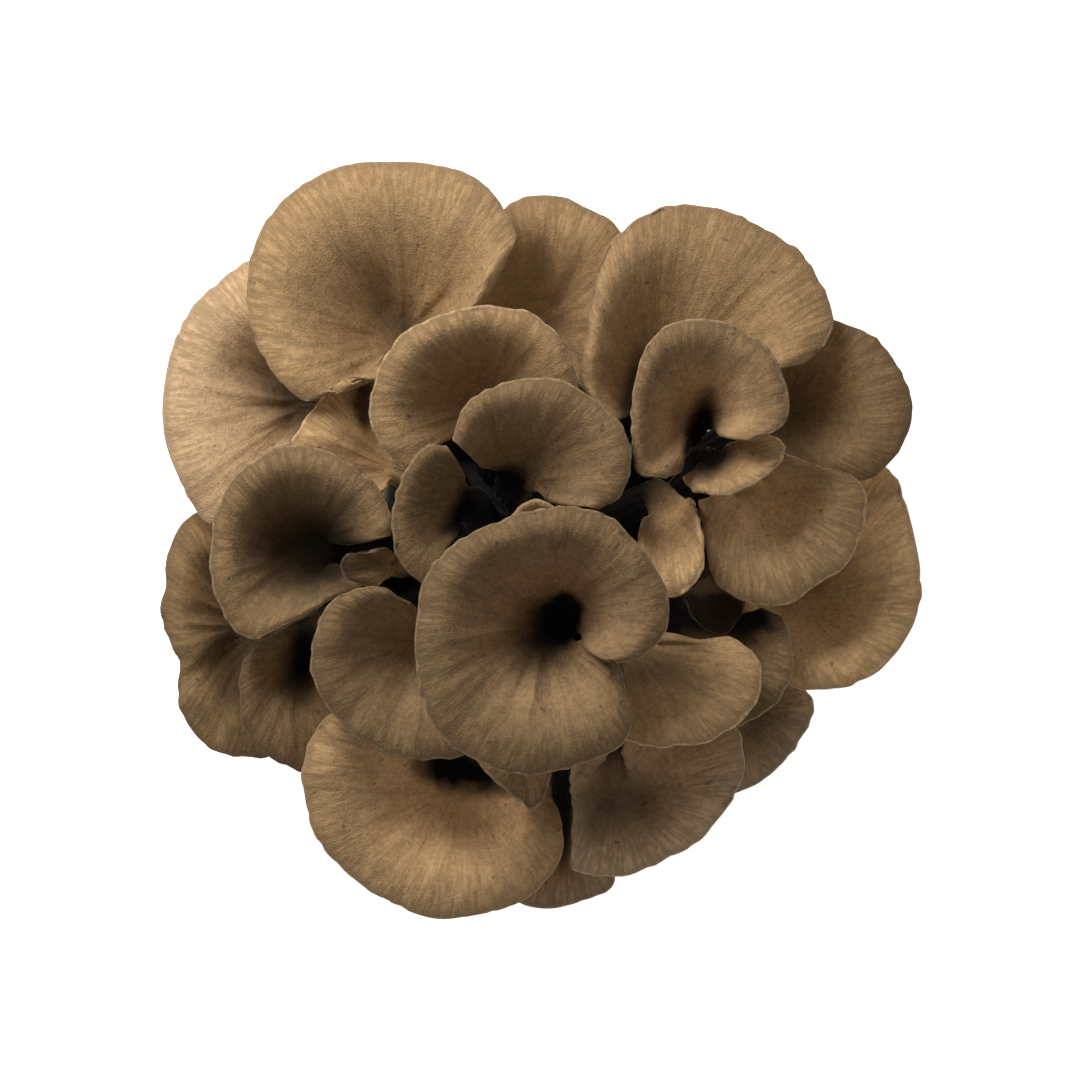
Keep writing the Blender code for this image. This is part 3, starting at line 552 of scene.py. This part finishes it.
def sheet_normals(sheet):
    """Upward normals of a cap's upper side."""
    normal = unit(np.cross(np.gradient(sheet, axis=0), np.gradient(sheet, axis=1)))
    normal[:, 0] = normal[:, 1]
    normal[:, -1] = normal[:, -2]
    return normal


def folds(kind, along, inward, seed):
    """Folds of one kind over a cap's upper side."""
    depth, wide, long, shift = kind
    return dips(depth, along / wide + seed * shift, inward / long)


def folded(top, shares, along, reach, deepened, seed):
    """The upper side with its folds and rolled margin, deeper where the cap is wide."""
    share = shares[:, None]
    size = deepened * np.minimum(1, reach / FULL_FOLD_REACH) ** 2
    inward = norm(np.diff(top, axis=0), axis=2).mean(axis=1)
    inward = np.append(np.cumsum(inward[::-1])[::-1], 0.0)[:, None]
    near, full, gone = THROAT_FOLD_SHARES
    strength = smoothstep(0, near, share) * (1 - smoothstep(full, gone, share))
    deep = strength * folds(THROAT_FOLD, along, inward, seed)
    lift = size * (smoothstep(*FOLD_SHARES, share) * folds(FOLD, along, inward, seed) + deep)
    level = smoothstep(*LEVEL_SHARES, share)[:, :, None]
    way = sheet_normals(top) * (1 - level) + level * (0, 0, 1)
    top = top + way * lift[:, :, None]
    top[:, :, 2] -= MARGIN_DROP[0] * np.exp(-(inward / MARGIN_DROP[1])**2) * np.minimum(size, 1)
    return top, inward[:, 0]


def under_side(top, shares, throat_thickness):
    """The cap's lower side: each point of the upper side moved in by the thickness there."""
    left = (1 - shares) ** THINNING_POWER
    thickness = MARGIN_THICKNESS + (throat_thickness - MARGIN_THICKNESS) * left
    return top - sheet_normals(top) * thickness[:, None, None]


def stalk_rings(frond, fan):
    """Rings up the stalk as they go on in the cap's upper side and in its lower side."""
    start, arriving = stalk_ends(frond)
    leaving = unit(np.array([*(2 * BUTT_FALL * start[:2]), 1.0]))
    end = fan.throat - STALK_END_DROP * frond.stalk * arriving
    bend = STALK_BEND * norm(end - start)
    a, b, c, d = start, start + bend * leaving, end - bend * arriving, end
    half = max(fan.cup_half_turn, LEAST_HALF_TURN)
    step = np.linspace(0, 1, len(fan.reach))
    front, back = half + SEAM_HALF_TURN, half - SEAM_HALF_TURN
    turns = (-front - step * (2 * pi - 2 * front), -back + step * 2 * back)
    forward = np.array([cos(fan.middle), sin(fan.middle), 0.0])
    sides = ([], [])
    for t in np.linspace(1, 0, STALK_ROWS):
        centre = (1 - t)**3 * a + 3 * t * (1 - t)**2 * b + 3 * t**2 * (1 - t) * c + t**3 * d
        along = unit((1 - t)**2 * (b - a) + 2 * t * (1 - t) * (c - b) + t**2 * (d - c))
        forward = unit(forward - forward.dot(along) * along)
        sideways = np.cross(along, forward)
        risen = norm(centre - a) / ROOT_SPREAD_HEIGHT
        spread = 1 + ROOT_SPREAD * exp(-risen**2)
        flare = ROOT_FLARE + (1 - ROOT_FLARE) * min(t / FLARE_SHARE, 1.0)
        radius = frond.stalk * flare * spread
        for side, turn in zip(sides, turns):
            ring = np.cos(turn)[:, None] * forward + np.sin(turn)[:, None] * sideways
            side.insert(0, centre + radius * ring)
    sides = [np.array(side) for side in sides]
    for side in sides:
        side[0, :, 2] = butt_height(norm(side[0, :, :2], axis=1)) - ROOT_SINK
    return *sides, arriving


def joining_rows(rings, leaving, sheet):
    """Rows that swell from the stalk's last ring into the cap's first row."""
    ring, row, arriving = rings[-1], sheet[0], unit(sheet[1] - sheet[0])
    t = np.linspace(0, 1, JOINING_ROWS + 2)[1:-1, None, None]
    length = norm(row - ring, axis=1)[:, None]
    start = (2 * t**3 - 3 * t**2 + 1) * ring + (t**3 - 2 * t**2 + t) * leaving * length
    end = (3 * t**2 - 2 * t**3) * row + (t**3 - t**2) * arriving * length
    return start + end


def rounded(first, last, outward, turns):
    """Lines of points that go round an edge from its first line towards its last."""
    middle, across = (first + last) / 2, (first - last) / 2
    size = norm(across, axis=1)[:, None]
    return [middle + cos(turn) * across + sin(turn) * outward * size for turn in turns]


def margin_rows(top, under):
    """Rows that round the cap's margin off, half from its upper side and half from its lower."""
    outward = unit(top[-1] - top[-2])
    turns = pi / 2 * np.arange(1, MARGIN_ROWS + 1) / (MARGIN_ROWS + 0.5)
    above = rounded(top[-1], under[-1], outward, turns)
    return above, rounded(under[-1], top[-1], outward, turns)


def side_edge(first, last, inner, bulge):
    """Columns that round a side edge off between one side of the cap and the other."""
    across, outward = unit(first - last), unit(first - inner)
    outward = unit(outward - (outward * across).sum(axis=1)[:, None] * across)
    turns = pi * np.arange(1, EDGE_COLUMNS + 1) / (EDGE_COLUMNS + 1)
    return np.stack(rounded(first, last, outward * bulge[:, None], turns), axis=1)


def frond_grid(frond, seed):
    """The frond as a grid of points, with how far round, out and in from the rim they lie."""
    rim, along = fine_rim(frond, seed)
    fan = Fan(frond, rim)
    shares = fan.even_shares()
    deepened = FOLDS.get(frond.name, 1.0)
    top, inward = folded(fan.top(shares), shares, along, fan.reach, deepened, seed)
    under = under_side(top, shares, THROAT_THICKNESS_SHARE * frond.stalk)
    ring_top, ring_under, leaving = stalk_rings(frond, fan)
    above, below = margin_rows(top, under)
    upper = np.concatenate([ring_top, joining_rows(ring_top, leaving, top), top, above])
    lower = np.concatenate([ring_under, joining_rows(ring_under, leaving, under), under, below])
    shares = np.pad(shares, (STALK_ROWS + JOINING_ROWS, MARGIN_ROWS), constant_values=(0, 1))
    bulge = smoothstep(*BULGE_SHARES, shares)
    last_side = side_edge(upper[:, -1], lower[:, -1], upper[:, -2], bulge)
    first_side = side_edge(lower[:, 0], upper[:, 0], lower[:, 1], bulge)
    grid = np.concatenate([upper, last_side, lower[:, ::-1], first_side], axis=1)
    down = distances(ring_top[::-1, 0])[::-1] + inward[0]
    inward = np.concatenate([down, np.pad(inward, (JOINING_ROWS, MARGIN_ROWS), "edge")])
    return grid, along, shares, inward


def frond_surface(frond, seed):
    """The frond's grid of points, with what its relief and colours are made from."""
    grid, along, shares, inward = frond_grid(frond, seed)
    around = np.pad(along, (0, EDGE_COLUMNS), "edge")
    around = np.concatenate([around, np.pad(along[::-1], (0, EDGE_COLUMNS), "edge")])
    across = np.linspace(1, 0, EDGE_COLUMNS + 2)[1:-1]
    upness = np.concatenate([np.ones(len(along)), across, np.zeros(len(along)), across[::-1]])
    rise = np.pad(np.linspace(0, 1, STALK_ROWS), (0, len(grid) - STALK_ROWS), "edge")
    cap = np.linspace(0, 1, JOINING_ROWS + 2)
    cap = np.pad(cap, (STALK_ROWS - 1, len(grid) - STALK_ROWS - JOINING_ROWS - 1), "edge")
    sideways = np.minimum(around, along[-1] - around)[None, :]
    sideways = sideways * np.maximum(shares, LEAST_WRAP_SHARE)[:, None]
    side_wrap = WIDE_SIDE_WRAPS.get(frond.name, SIDE_WRAP)
    wrapped = 1 - smoothstep(*MARGIN_WRAP, inward)[:, None] * smoothstep(*side_wrap, sideways)
    browned = smoothstep(*STALK_BROWN, rise)
    skin = np.maximum((upness > SKINNED_EDGE).astype(float), wrapped) * browned[:, None]
    values = dict(
        skin=skin, around=around, upness=upness, browned=browned[:, None], cap=cap[:, None],
        rise=rise[:, None], share=shares[:, None], inward=inward[:, None])
    surface = {name: np.broadcast_to(value, grid.shape[:2]) for name, value in values.items()}
    return {"grid": grid, "columns": len(along), **surface}


def unshaded_by_mouths(name, x, y):
    """How little of the painted shade of its mouths each point of a cap has."""
    light = np.ones(x.shape)
    wave = 1 + MOUTH_SHADE_WAVE[0] * plane_noise(x / MOUTH_SHADE_WAVE[1], y / MOUTH_SHADE_WAVE[1])
    for caps, place, size, turn, dark, least, most, softest in PAINTED_MOUTH_SHADES:
        if name not in caps.split():
            continue
        right, up = x - place[0], y - place[1]
        turn, softest = radians(turn), radians(softest)
        along = (right * cos(turn) + up * sin(turn)) / size[0]
        across = (up * cos(turn) - right * sin(turn)) / size[1]
        edge = least + (most - least) * (1 + np.cos(np.arctan2(up, right) - softest)) / 2
        lit = smoothstep(0, 1, (np.hypot(along, across) * wave - 1 + edge) / (2 * edge))
        light *= 1 - dark * (1 - lit)
    return light


def grid_normals(grid):
    """Outward normals of a grid of points whose columns run all round."""
    around = np.roll(grid, -1, axis=1) - np.roll(grid, 1, axis=1)
    return unit(np.cross(np.gradient(grid, axis=0), around))


def ridges(surface, seed):
    """How far the radial ridges of the cap stand below its smooth form."""
    around, inward = surface["around"], surface["inward"]
    shift = RIDGE_SHIFT * seed
    ridge = 0
    for depth, wide, long in RIDGES:
        ridge += dips(depth, around / wide + shift, inward / long + shift)
    return surface["cap"] * smoothstep(*RIDGE_SHARES, surface["share"]) * ridge


def grooves(surface, seed):
    """How far the grooves of the stalk stand out."""
    around, inward = surface["around"] / STALK_GROOVE[1], surface["inward"] / STALK_GROOVE[2]
    groove = plane_noise(around + RIDGE_SHIFT * seed, inward)
    return (1 - surface["cap"]) * STALK_GROOVE[0] * groove


def net_faces(rows, columns, base):
    """Faces over a grid whose columns run all round."""
    here = np.arange(columns)
    ahead = (here + 1) % columns
    low = base + columns * np.arange(rows - 1)[:, None]
    high = low + columns
    faces = np.stack([low + here, high + here, high + ahead, low + ahead], axis=2)
    return [tuple(face) for face in faces.reshape(-1, 4).tolist()]


def frond_faces(rows, columns):
    """Faces over a frond's grid, with its root and its margin closed."""
    loop = 2 * columns + 2 * EDGE_COLUMNS
    faces = net_faces(rows, loop, 0)
    for base, outward in ((0, False), ((rows - 1) * loop, True)):
        lower = base + columns + EDGE_COLUMNS
        pairs = [(base + step, lower + columns - 1 - step) for step in range(columns - 1)]
        ends = [(a, b, b - 1, a + 1) for a, b in pairs]
        ends.append((base + columns - 1, *range(lower, base + columns - 1, -1)))
        ends.append((lower + columns - 1, base, *range(base + loop - 1, lower + columns - 1, -1)))
        faces += ends if outward else [face[::-1] for face in ends]
    return faces


def search_tree(grids):
    """A coarse net of every surface, for finding what the light reaches."""
    points, faces = [], []
    for grid in grids:
        net = np.concatenate([grid[::SHADE_NET, ::SHADE_NET], grid[-1:, ::SHADE_NET]])
        faces += net_faces(*net.shape[:2], len(points))
        points += net.reshape(-1, 3).tolist()
    return BVHTree.FromPolygons(points, faces)


def ray_ways():
    """Directions spread evenly over a sphere."""
    steps = np.arange(SHADE_RAYS) + 0.5
    tall = 1 - 2 * steps / SHADE_RAYS
    turn = pi * (1 + sqrt(5)) * steps
    wide = np.sqrt(1 - tall**2)
    return np.column_stack([np.cos(turn) * wide, np.sin(turn) * wide, tall])


def openness(points, normals, tree):
    """The share of the light round each point, on the side it faces, that reaches it."""
    ways = ray_ways()
    rays = [Vector(way) for way in ways]
    found = np.zeros(points.shape[:2])
    for k in np.ndindex(found.shape):
        weights = ways @ normals[k]
        start = Vector(points[k] + SHADE_LIFT * normals[k])
        facing = np.flatnonzero(weights > 0)
        free = [i for i in facing if tree.ray_cast(start, rays[i], SHADE_REACH)[0] is None]
        found[k] = weights[free].sum() / max(weights[facing].sum(), TINY)
    return found


def depth_over(grid, normals, tree):
    """Openness over a grid, measured at every few points and read off in between."""
    tall, wide = grid.shape[:2]
    rows = np.unique([*range(0, tall, SHADE_STEP), tall - 1])
    columns = np.unique([*range(0, wide, SHADE_STEP), wide - 1])
    picked = np.ix_(rows, columns)
    coarse = openness(grid[picked], normals[picked], tree)
    filled = np.array([np.interp(np.arange(wide), columns, line) for line in coarse])
    return np.array([np.interp(np.arange(tall), rows, line) for line in filled.T]).T


def add_object(name, data):
    """A new object in the scene."""
    made = bpy.data.objects.new(name, data)
    bpy.context.scene.collection.objects.link(made)
    return made


def add_piece(name, points, faces, values, material, replaced):
    """One smooth piece in metres, with its named values at each point, in place of a node."""
    mesh = bpy.data.meshes.new(name)
    mesh.from_pydata((points.reshape(-1, 3) * MM).tolist(), [], faces)
    for key, value in values.items():
        kind, field = ("FLOAT_VECTOR", "vector") if value.ndim == 3 else ("FLOAT", "value")
        stored = mesh.attributes.new(key, kind, "POINT")
        stored.data.foreach_set(field, value.astype(np.float32).ravel())
    mesh.materials.append(material)
    mesh.shade_smooth()
    piece = add_object(name, mesh)
    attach(piece, "root")
    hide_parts(replaced)


def add_frond(frond, seed, surface, tree, material):
    """The fine frond that stands for one of the solids."""
    grid, name = surface["grid"], frond.name
    normals = grid_normals(grid)
    up = normals[:, :, 2]
    depth = depth_over(grid, normals, tree)
    ridge = ridges(surface, seed)
    relief = surface["upness"] * ridge + grooves(surface, seed)
    raised = grid + normals * relief[:, :, None]
    raised[:, :, 2] += (WRINKLES.get(name, 1.0) - 1) * ridge
    # Painted shade: inside the cluster, flesh and stalks that don't face down go to near-black
    inside = 1 - smoothstep(*INSIDE, norm(grid[:, :, :2], axis=2))
    inside *= smoothstep(*INSIDE_FACING, up)
    # Painted shade of the mouths on surfaces that face up, together with the inside's painted shade
    shade = 1 - unshaded_by_mouths(name, grid[:, :, 0], grid[:, :, 1])
    painted_shade_factor = 1 - inside * (1 - surface["skin"] * surface["cap"])
    # Painted light: paler, greyer skin towards the throats of some caps
    pale = (THROAT_PAINTED_LIGHT.get(name, 1.0) - 1) * (1 - smoothstep(*THROAT_LIGHT_SHARES, surface["share"]))
    shaded = name.startswith("outer") or name == SHADED_CAP
    seeds = np.full(grid.shape[:2], FIBRE_SHIFT * seed)
    values = {
        "fibre": np.stack([surface["around"], surface["inward"], seeds], axis=2),
        "skin": np.maximum(surface["skin"], smoothstep(*FACING_UP, up) * surface["browned"]),
        "cap": surface["cap"],
        "rise": surface["rise"],
        "painted_shade_factor": painted_shade_factor * (1 - shade * smoothstep(*MOUTH_SHADE_FACING, up)),
        "tone_and_painted_light": TONES_AND_PAINTED_LIGHT.get(name, 1.0) * (1 + pale),
        "grey": GREYS.get(name, 1.0) * (1 - THROAT_LIGHT_GREYING * pale),
        "line": np.full(grid.shape[:2], OUTER_LINE if shaded else INNER_LINE),
        "open": depth,
    }
    faces = frond_faces(grid.shape[0], surface["columns"])
    add_piece("fine_frond_" + name, raised, faces, values, material, "frond_" + name)


def butt_grid():
    """Rings of points from the middle of the cut face, up the side, to the top of the dome."""
    angle = np.linspace(0, 2 * pi, BUTT_COLUMNS, endpoint=False)
    lobes = 1 + sum(size * np.sin(count * angle + turn) for count, size, turn in BUTT_LOBES)
    cut = [(radius, 0.0) for radius in BUTT_CUT]
    dome = [(radius, butt_height(radius)) for radius in BUTT_DOME]
    profile = np.array([*cut, *BUTT_SIDE, *dome])
    along = distances(profile)
    wanted = np.linspace(0, along[-1], BUTT_ROWS)
    radius = np.interp(wanted, along, profile[:, 0])
    height = np.interp(wanted, along, profile[:, 1])
    lobed = np.minimum(radius / BUTT_DOME[0], 1)[:, None]
    reach = radius[:, None] * (1 + (lobes - 1) * lobed)
    x, y = reach * np.cos(angle), reach * np.sin(angle)
    z = np.broadcast_to(height[:, None], x.shape)
    return np.stack([x, y, z], axis=2)


def add_butt(material, tree):
    """The fine butt: lumps and clefts on its side, a flat cut face, and openness for painted shade.
    """
    grid = butt_grid()
    rows, columns = grid.shape[:2]
    normals = -grid_normals(grid)
    x, y, z = grid[:, :, 0], grid[:, :, 1], grid[:, :, 2]
    turn = np.arctan2(y, x)
    lumps = 0
    for depth, circle, place, tall in BUTT_LUMPS:
        across, up = np.cos(turn) * circle + place, np.sin(turn) * circle + z / tall
        lumps += dips(depth, across, up)
    raised = grid + normals * (smoothstep(*LUMPS_FROM, z) * lumps)[:, :, None]
    ends = [tuple(range(columns))[::-1], tuple(range((rows - 1) * columns, rows * columns))]
    faces = [face[::-1] for face in net_faces(rows, columns, 0) + ends]
    # Painted shade: the butt's top inside the cluster that faces up goes dark, as do closed-in
    # places
    outside = smoothstep(*BUTT_INSIDE, np.hypot(x, y))
    inside = smoothstep(*FACING_UP, normals[:, :, 2]) * (1 - outside)
    values = {
        "open": depth_over(grid, normals, tree) * (1 - inside),
        "cut": 1 - smoothstep(*CUT_UP_TO, z),
    }
    add_piece("fine_butt", raised, faces, values, material, "butt")


class Shader:
    """One material's nodes, added and joined by short calls."""

    def __init__(self, name):
        self.material = bpy.data.materials.new(name)
        self.material.use_nodes = True
        self.tree = self.material.node_tree

    def put(self, socket, value):
        """Joins an output to an input, or sets the input's own number or colour."""
        if isinstance(value, bpy.types.NodeSocket):
            self.tree.links.new(value, socket)
        else:
            socket.default_value = value

    def fill(self, node, inputs):
        """Gives a node its inputs, where an input's name has _ for a space."""
        for name, value in inputs.items():
            self.put(node.inputs[name.replace("_", " ")], value)
        return node

    def finish(self, **inputs):
        """Gives the surface these inputs, and the material that is now ready."""
        self.fill(self.tree.nodes["Principled BSDF"], inputs)
        return self.material

    def node(self, kind, **inputs):
        """A new node with these inputs."""
        return self.fill(self.tree.nodes.new(kind), inputs)

    def ordered(self, kind, setting, value, inputs):
        """The result of a new node with one setting, and its inputs in their order."""
        made = self.tree.nodes.new(kind)
        setattr(made, setting, value)
        for socket, given in zip(made.inputs, inputs):
            self.put(socket, given)
        return made.outputs[0]

    def times(self, first, second):
        """Two numbers multiplied."""
        return self.ordered("ShaderNodeMath", "operation", "MULTIPLY", (first, second))

    def plus(self, first, second):
        """Two numbers added."""
        return self.ordered("ShaderNodeMath", "operation", "ADD", (first, second))

    def scaled(self, vector, scale):
        """A vector with each of its sides multiplied."""
        return self.ordered("ShaderNodeVectorMath", "operation", "MULTIPLY", (vector, scale))

    def step(self, value, low, high, start=0.0, end=1.0):
        """A soft step from start at low to end at high."""
        inputs = (value, low, high, start, end)
        return self.ordered("ShaderNodeMapRange", "interpolation_type", "SMOOTHSTEP", inputs)

    def mottle(self, vector, scale, detail, rough):
        """Noise from 0 to 1 in these coordinates."""
        inputs = dict(Vector=vector, Scale=scale, Detail=detail, Roughness=rough)
        return self.node("ShaderNodeTexNoise", **inputs).outputs["Fac"]

    def blend(self, share, first, second):
        """A colour between two."""
        made = self.tree.nodes.new("ShaderNodeMix")
        made.data_type = "RGBA"
        self.put(made.inputs["Factor"], share)
        self.put(made.inputs[6], first)
        self.put(made.inputs[7], second)
        return made.outputs[2]

    def value(self, name, output="Fac"):
        """A mesh attribute, read as a number or by another output."""
        made = self.tree.nodes.new("ShaderNodeAttribute")
        made.attribute_name = name
        return made.outputs[output]

    def bump(self, height, distance, strength):
        """A bumped normal."""
        made = self.node("ShaderNodeBump", Height=height, Distance=distance, Strength=strength)
        return made.outputs["Normal"]


def skin_colour(shader, patterns, inward):
    """Layered brown skin, painted shade in furrows, a greyer rim and pale line near the margin."""
    colour = SKIN_DARK
    for name, low, high, least, most, over in SKIN_LAYERS:
        colour = shader.blend(shader.step(patterns[name], low, high, least, most), colour, over)
    # Painted shade in the furrows between the fibres, near the margin
    furrow_shade = shader.step(patterns["streak"], 0.56, 0.4, 0.0, 0.6)
    furrow_shade = shader.times(shader.step(inward, *FURROW_SHADE_FROM), furrow_shade)
    colour = shader.blend(furrow_shade, colour, SKIN_DARK)
    rim = shader.plus(inward, shader.times(patterns["torn"], RIM_TORN))
    colour = shader.blend(shader.step(rim, *RIM_FROM, 0.0, 0.6), colour, SKIN_GREY)
    line = shader.plus(inward, shader.times(patterns["torn"], LINE_TORN))
    line = shader.times(shader.step(line, *LINE_FROM), shader.value("line"))
    colour = shader.blend(line, colour, MARGIN_PALE)
    toned = dict(Value=shader.value("tone_and_painted_light"), Saturation=shader.value("grey"), Color=colour)
    return shader.node("ShaderNodeHueSaturation", **toned).outputs["Color"]


def flesh_colour(shader, patterns, pores, cap):
    """Cream pores under the cap, and white threads down the stalk to a browner root."""
    under = shader.blend(shader.step(pores, 0.15, 0.55), PORE_DARK, PORE_LIGHT)
    under = shader.blend(shader.step(patterns["patch"], 0.4, 0.7, 0.0, 0.5), under, PORE_WARM)
    stalk = shader.blend(shader.step(patterns["threads"], 0.35, 0.7), STALK_SHADE, STALK_WHITE)
    rooted = shader.step(shader.value("rise"), 0.25, 0.0, 0.0, 0.5)
    return shader.blend(cap, shader.blend(rooted, stalk, BUTT_BROWN), under)


def cap_material():
    """Felt-like brown skin with radial fibres on cream pores and white stalks, and painted shade."""
    shader = Shader("maitake_cap")
    place = shader.node("ShaderNodeTexCoord").outputs["Object"]
    fibre = shader.value("fibre", "Vector")
    skin, cap, depth = shader.value("skin"), shader.value("cap"), shader.value("open")
    inward = shader.node("ShaderNodeSeparateXYZ", Vector=fibre).outputs["Y"]
    patterns = {}
    for name, (scale, detail, rough) in FIBRE_PATTERNS.items():
        patterns[name] = shader.mottle(shader.scaled(fibre, scale), 1.0, detail, rough)
    for name, (scale, detail, rough) in PLACE_PATTERNS.items():
        patterns[name] = shader.mottle(place, scale, detail, rough)
    pores = shader.node("ShaderNodeTexVoronoi", Vector=place, Scale=PORES_PER_METRE)
    pores = pores.outputs["Distance"]

    # Painted shade: skin and flesh go to near-black where little light reaches them, inside the
    # cluster and in the mouths
    bare = shader.ordered("ShaderNodeMath", "operation", "SUBTRACT", (1.0, skin))
    bare = shader.times(shader.step(depth, *FLESH_SHADE_OPENNESS), bare)
    unshaded = shader.plus(shader.times(shader.step(depth, *SKIN_SHADE_OPENNESS), skin), bare)
    unshaded = shader.times(unshaded, shader.value("painted_shade_factor"))
    flesh = flesh_colour(shader, patterns, pores, cap)
    whole = shader.blend(skin, flesh, skin_colour(shader, patterns, inward))
    felt = shader.plus(patterns["streak"], shader.times(patterns["fuzz"], FUZZ_SHARE))
    height = shader.plus(shader.times(felt, skin), shader.times(pores, cap))
    return shader.finish(
        Base_Color=shader.blend(unshaded, SPECK_AND_SHADE_BLACK, whole),
        Normal=shader.bump(height, *CAP_BUMP),
        Roughness=shader.step(patterns["streak"], *MATT),
        Specular_IOR_Level=0.05,
        Sheen_Weight=0.02,
        Sheen_Roughness=0.5,
    )


def butt_material():
    """Cream flesh with brown patches, painted shade where it is closed in, and a paler fibrous cut.
    """
    shader = Shader("maitake_butt")
    place = shader.node("ShaderNodeTexCoord").outputs["Object"]
    patch = shader.mottle(place, 110.0, 4.0, 0.6)
    grain = shader.mottle(place, 900.0, 3.0, 0.6)
    fibres = shader.mottle(shader.scaled(place, (1.0, 0.25, 1.0)), 700.0, 4.0, 0.65)
    colour = shader.blend(shader.step(patch, 0.4, 0.62), BUTT_CREAM, BUTT_BROWN)
    colour = shader.blend(shader.step(grain, 0.4, 0.7, 0.0, 0.4), colour, STALK_SHADE)
    # Painted shade: near-black where little light reaches the butt
    colour = shader.blend(shader.step(shader.value("open"), *BUTT_SHADE_OPENNESS), SPECK_AND_SHADE_BLACK, colour)
    face = shader.blend(shader.step(fibres, 0.35, 0.68), CUT_SHADE, CUT_CREAM)
    return shader.finish(
        Base_Color=shader.blend(shader.value("cut"), colour, face),
        Normal=shader.bump(shader.plus(grain, fibres), *BUTT_BUMP),
        Roughness=shader.step(patch, *MATT),
        Specular_IOR_Level=0.3,
    )


def add_floor():
    """A plain near-white floor that stays bright, a hair below the cut face that it meets."""
    size, low = FLOOR_SIZE * MM / 2, -FLOOR_DROP * MM
    mesh = bpy.data.meshes.new("floor")
    corners = ((-size, -size, low), (size, -size, low), (size, size, low), (-size, size, low))
    mesh.from_pydata(corners, [], [(0, 1, 2, 3)])
    mesh.materials.append(Shader("floor_white").finish(
        Base_Color=FLOOR_COLOUR, Roughness=FLOOR_MATT, Emission_Color=WHITE,
        Emission_Strength=FLOOR_GLOW))
    add_object("floor", mesh)


def add_light():
    """A square softbox that faces the cluster from its upper left."""
    light = bpy.data.lights.new("key", "AREA")
    light.shape = "SQUARE"
    light.size = LIGHT_SIZE * MM
    light.energy = LIGHT_POWER
    made = add_object("key", light)
    made.location = Vector(LIGHT_PLACE) * MM
    aim = Vector((0, 0, FRAME_HEIGHT)) - Vector(LIGHT_PLACE)
    made.rotation_euler = aim.to_track_quat("-Z", "Y").to_euler()
    made.visible_camera = False


def add_world():
    """A weak even white light from all round."""
    world = bpy.data.worlds.new("studio")
    world.use_nodes = True
    background = world.node_tree.nodes["Background"].inputs
    background["Color"].default_value = WHITE
    background["Strength"].default_value = WORLD_LIGHT
    bpy.context.scene.world = world


def add_camera():
    """The photograph's camera: far above and straight down, +Y at the top."""
    camera = bpy.data.cameras.new("camera")
    camera.sensor_width = SENSOR
    camera.lens = SENSOR * CAMERA_DISTANCE / FRAME_WIDTH
    camera.clip_end = 2 * CAMERA_DISTANCE * MM
    made = add_object("camera", camera)
    made.location = Vector((*FRAME_CENTRE, FRAME_HEIGHT + CAMERA_DISTANCE)) * MM
    bpy.context.scene.camera = made


def main():
    """Dress the frame, light it and set the camera."""
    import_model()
    surfaces = [frond_surface(frond, seed) for seed, frond in enumerate(FRONDS)]
    tree = search_tree([surface["grid"] for surface in surfaces] + [butt_grid()])
    material = cap_material()
    for seed, (frond, surface) in enumerate(zip(FRONDS, surfaces)):
        add_frond(frond, seed, surface, tree, material)
    add_butt(butt_material(), tree)
    add_floor()
    add_light()
    add_world()
    add_camera()
    bpy.context.scene.view_settings.view_transform = "Standard"


main()
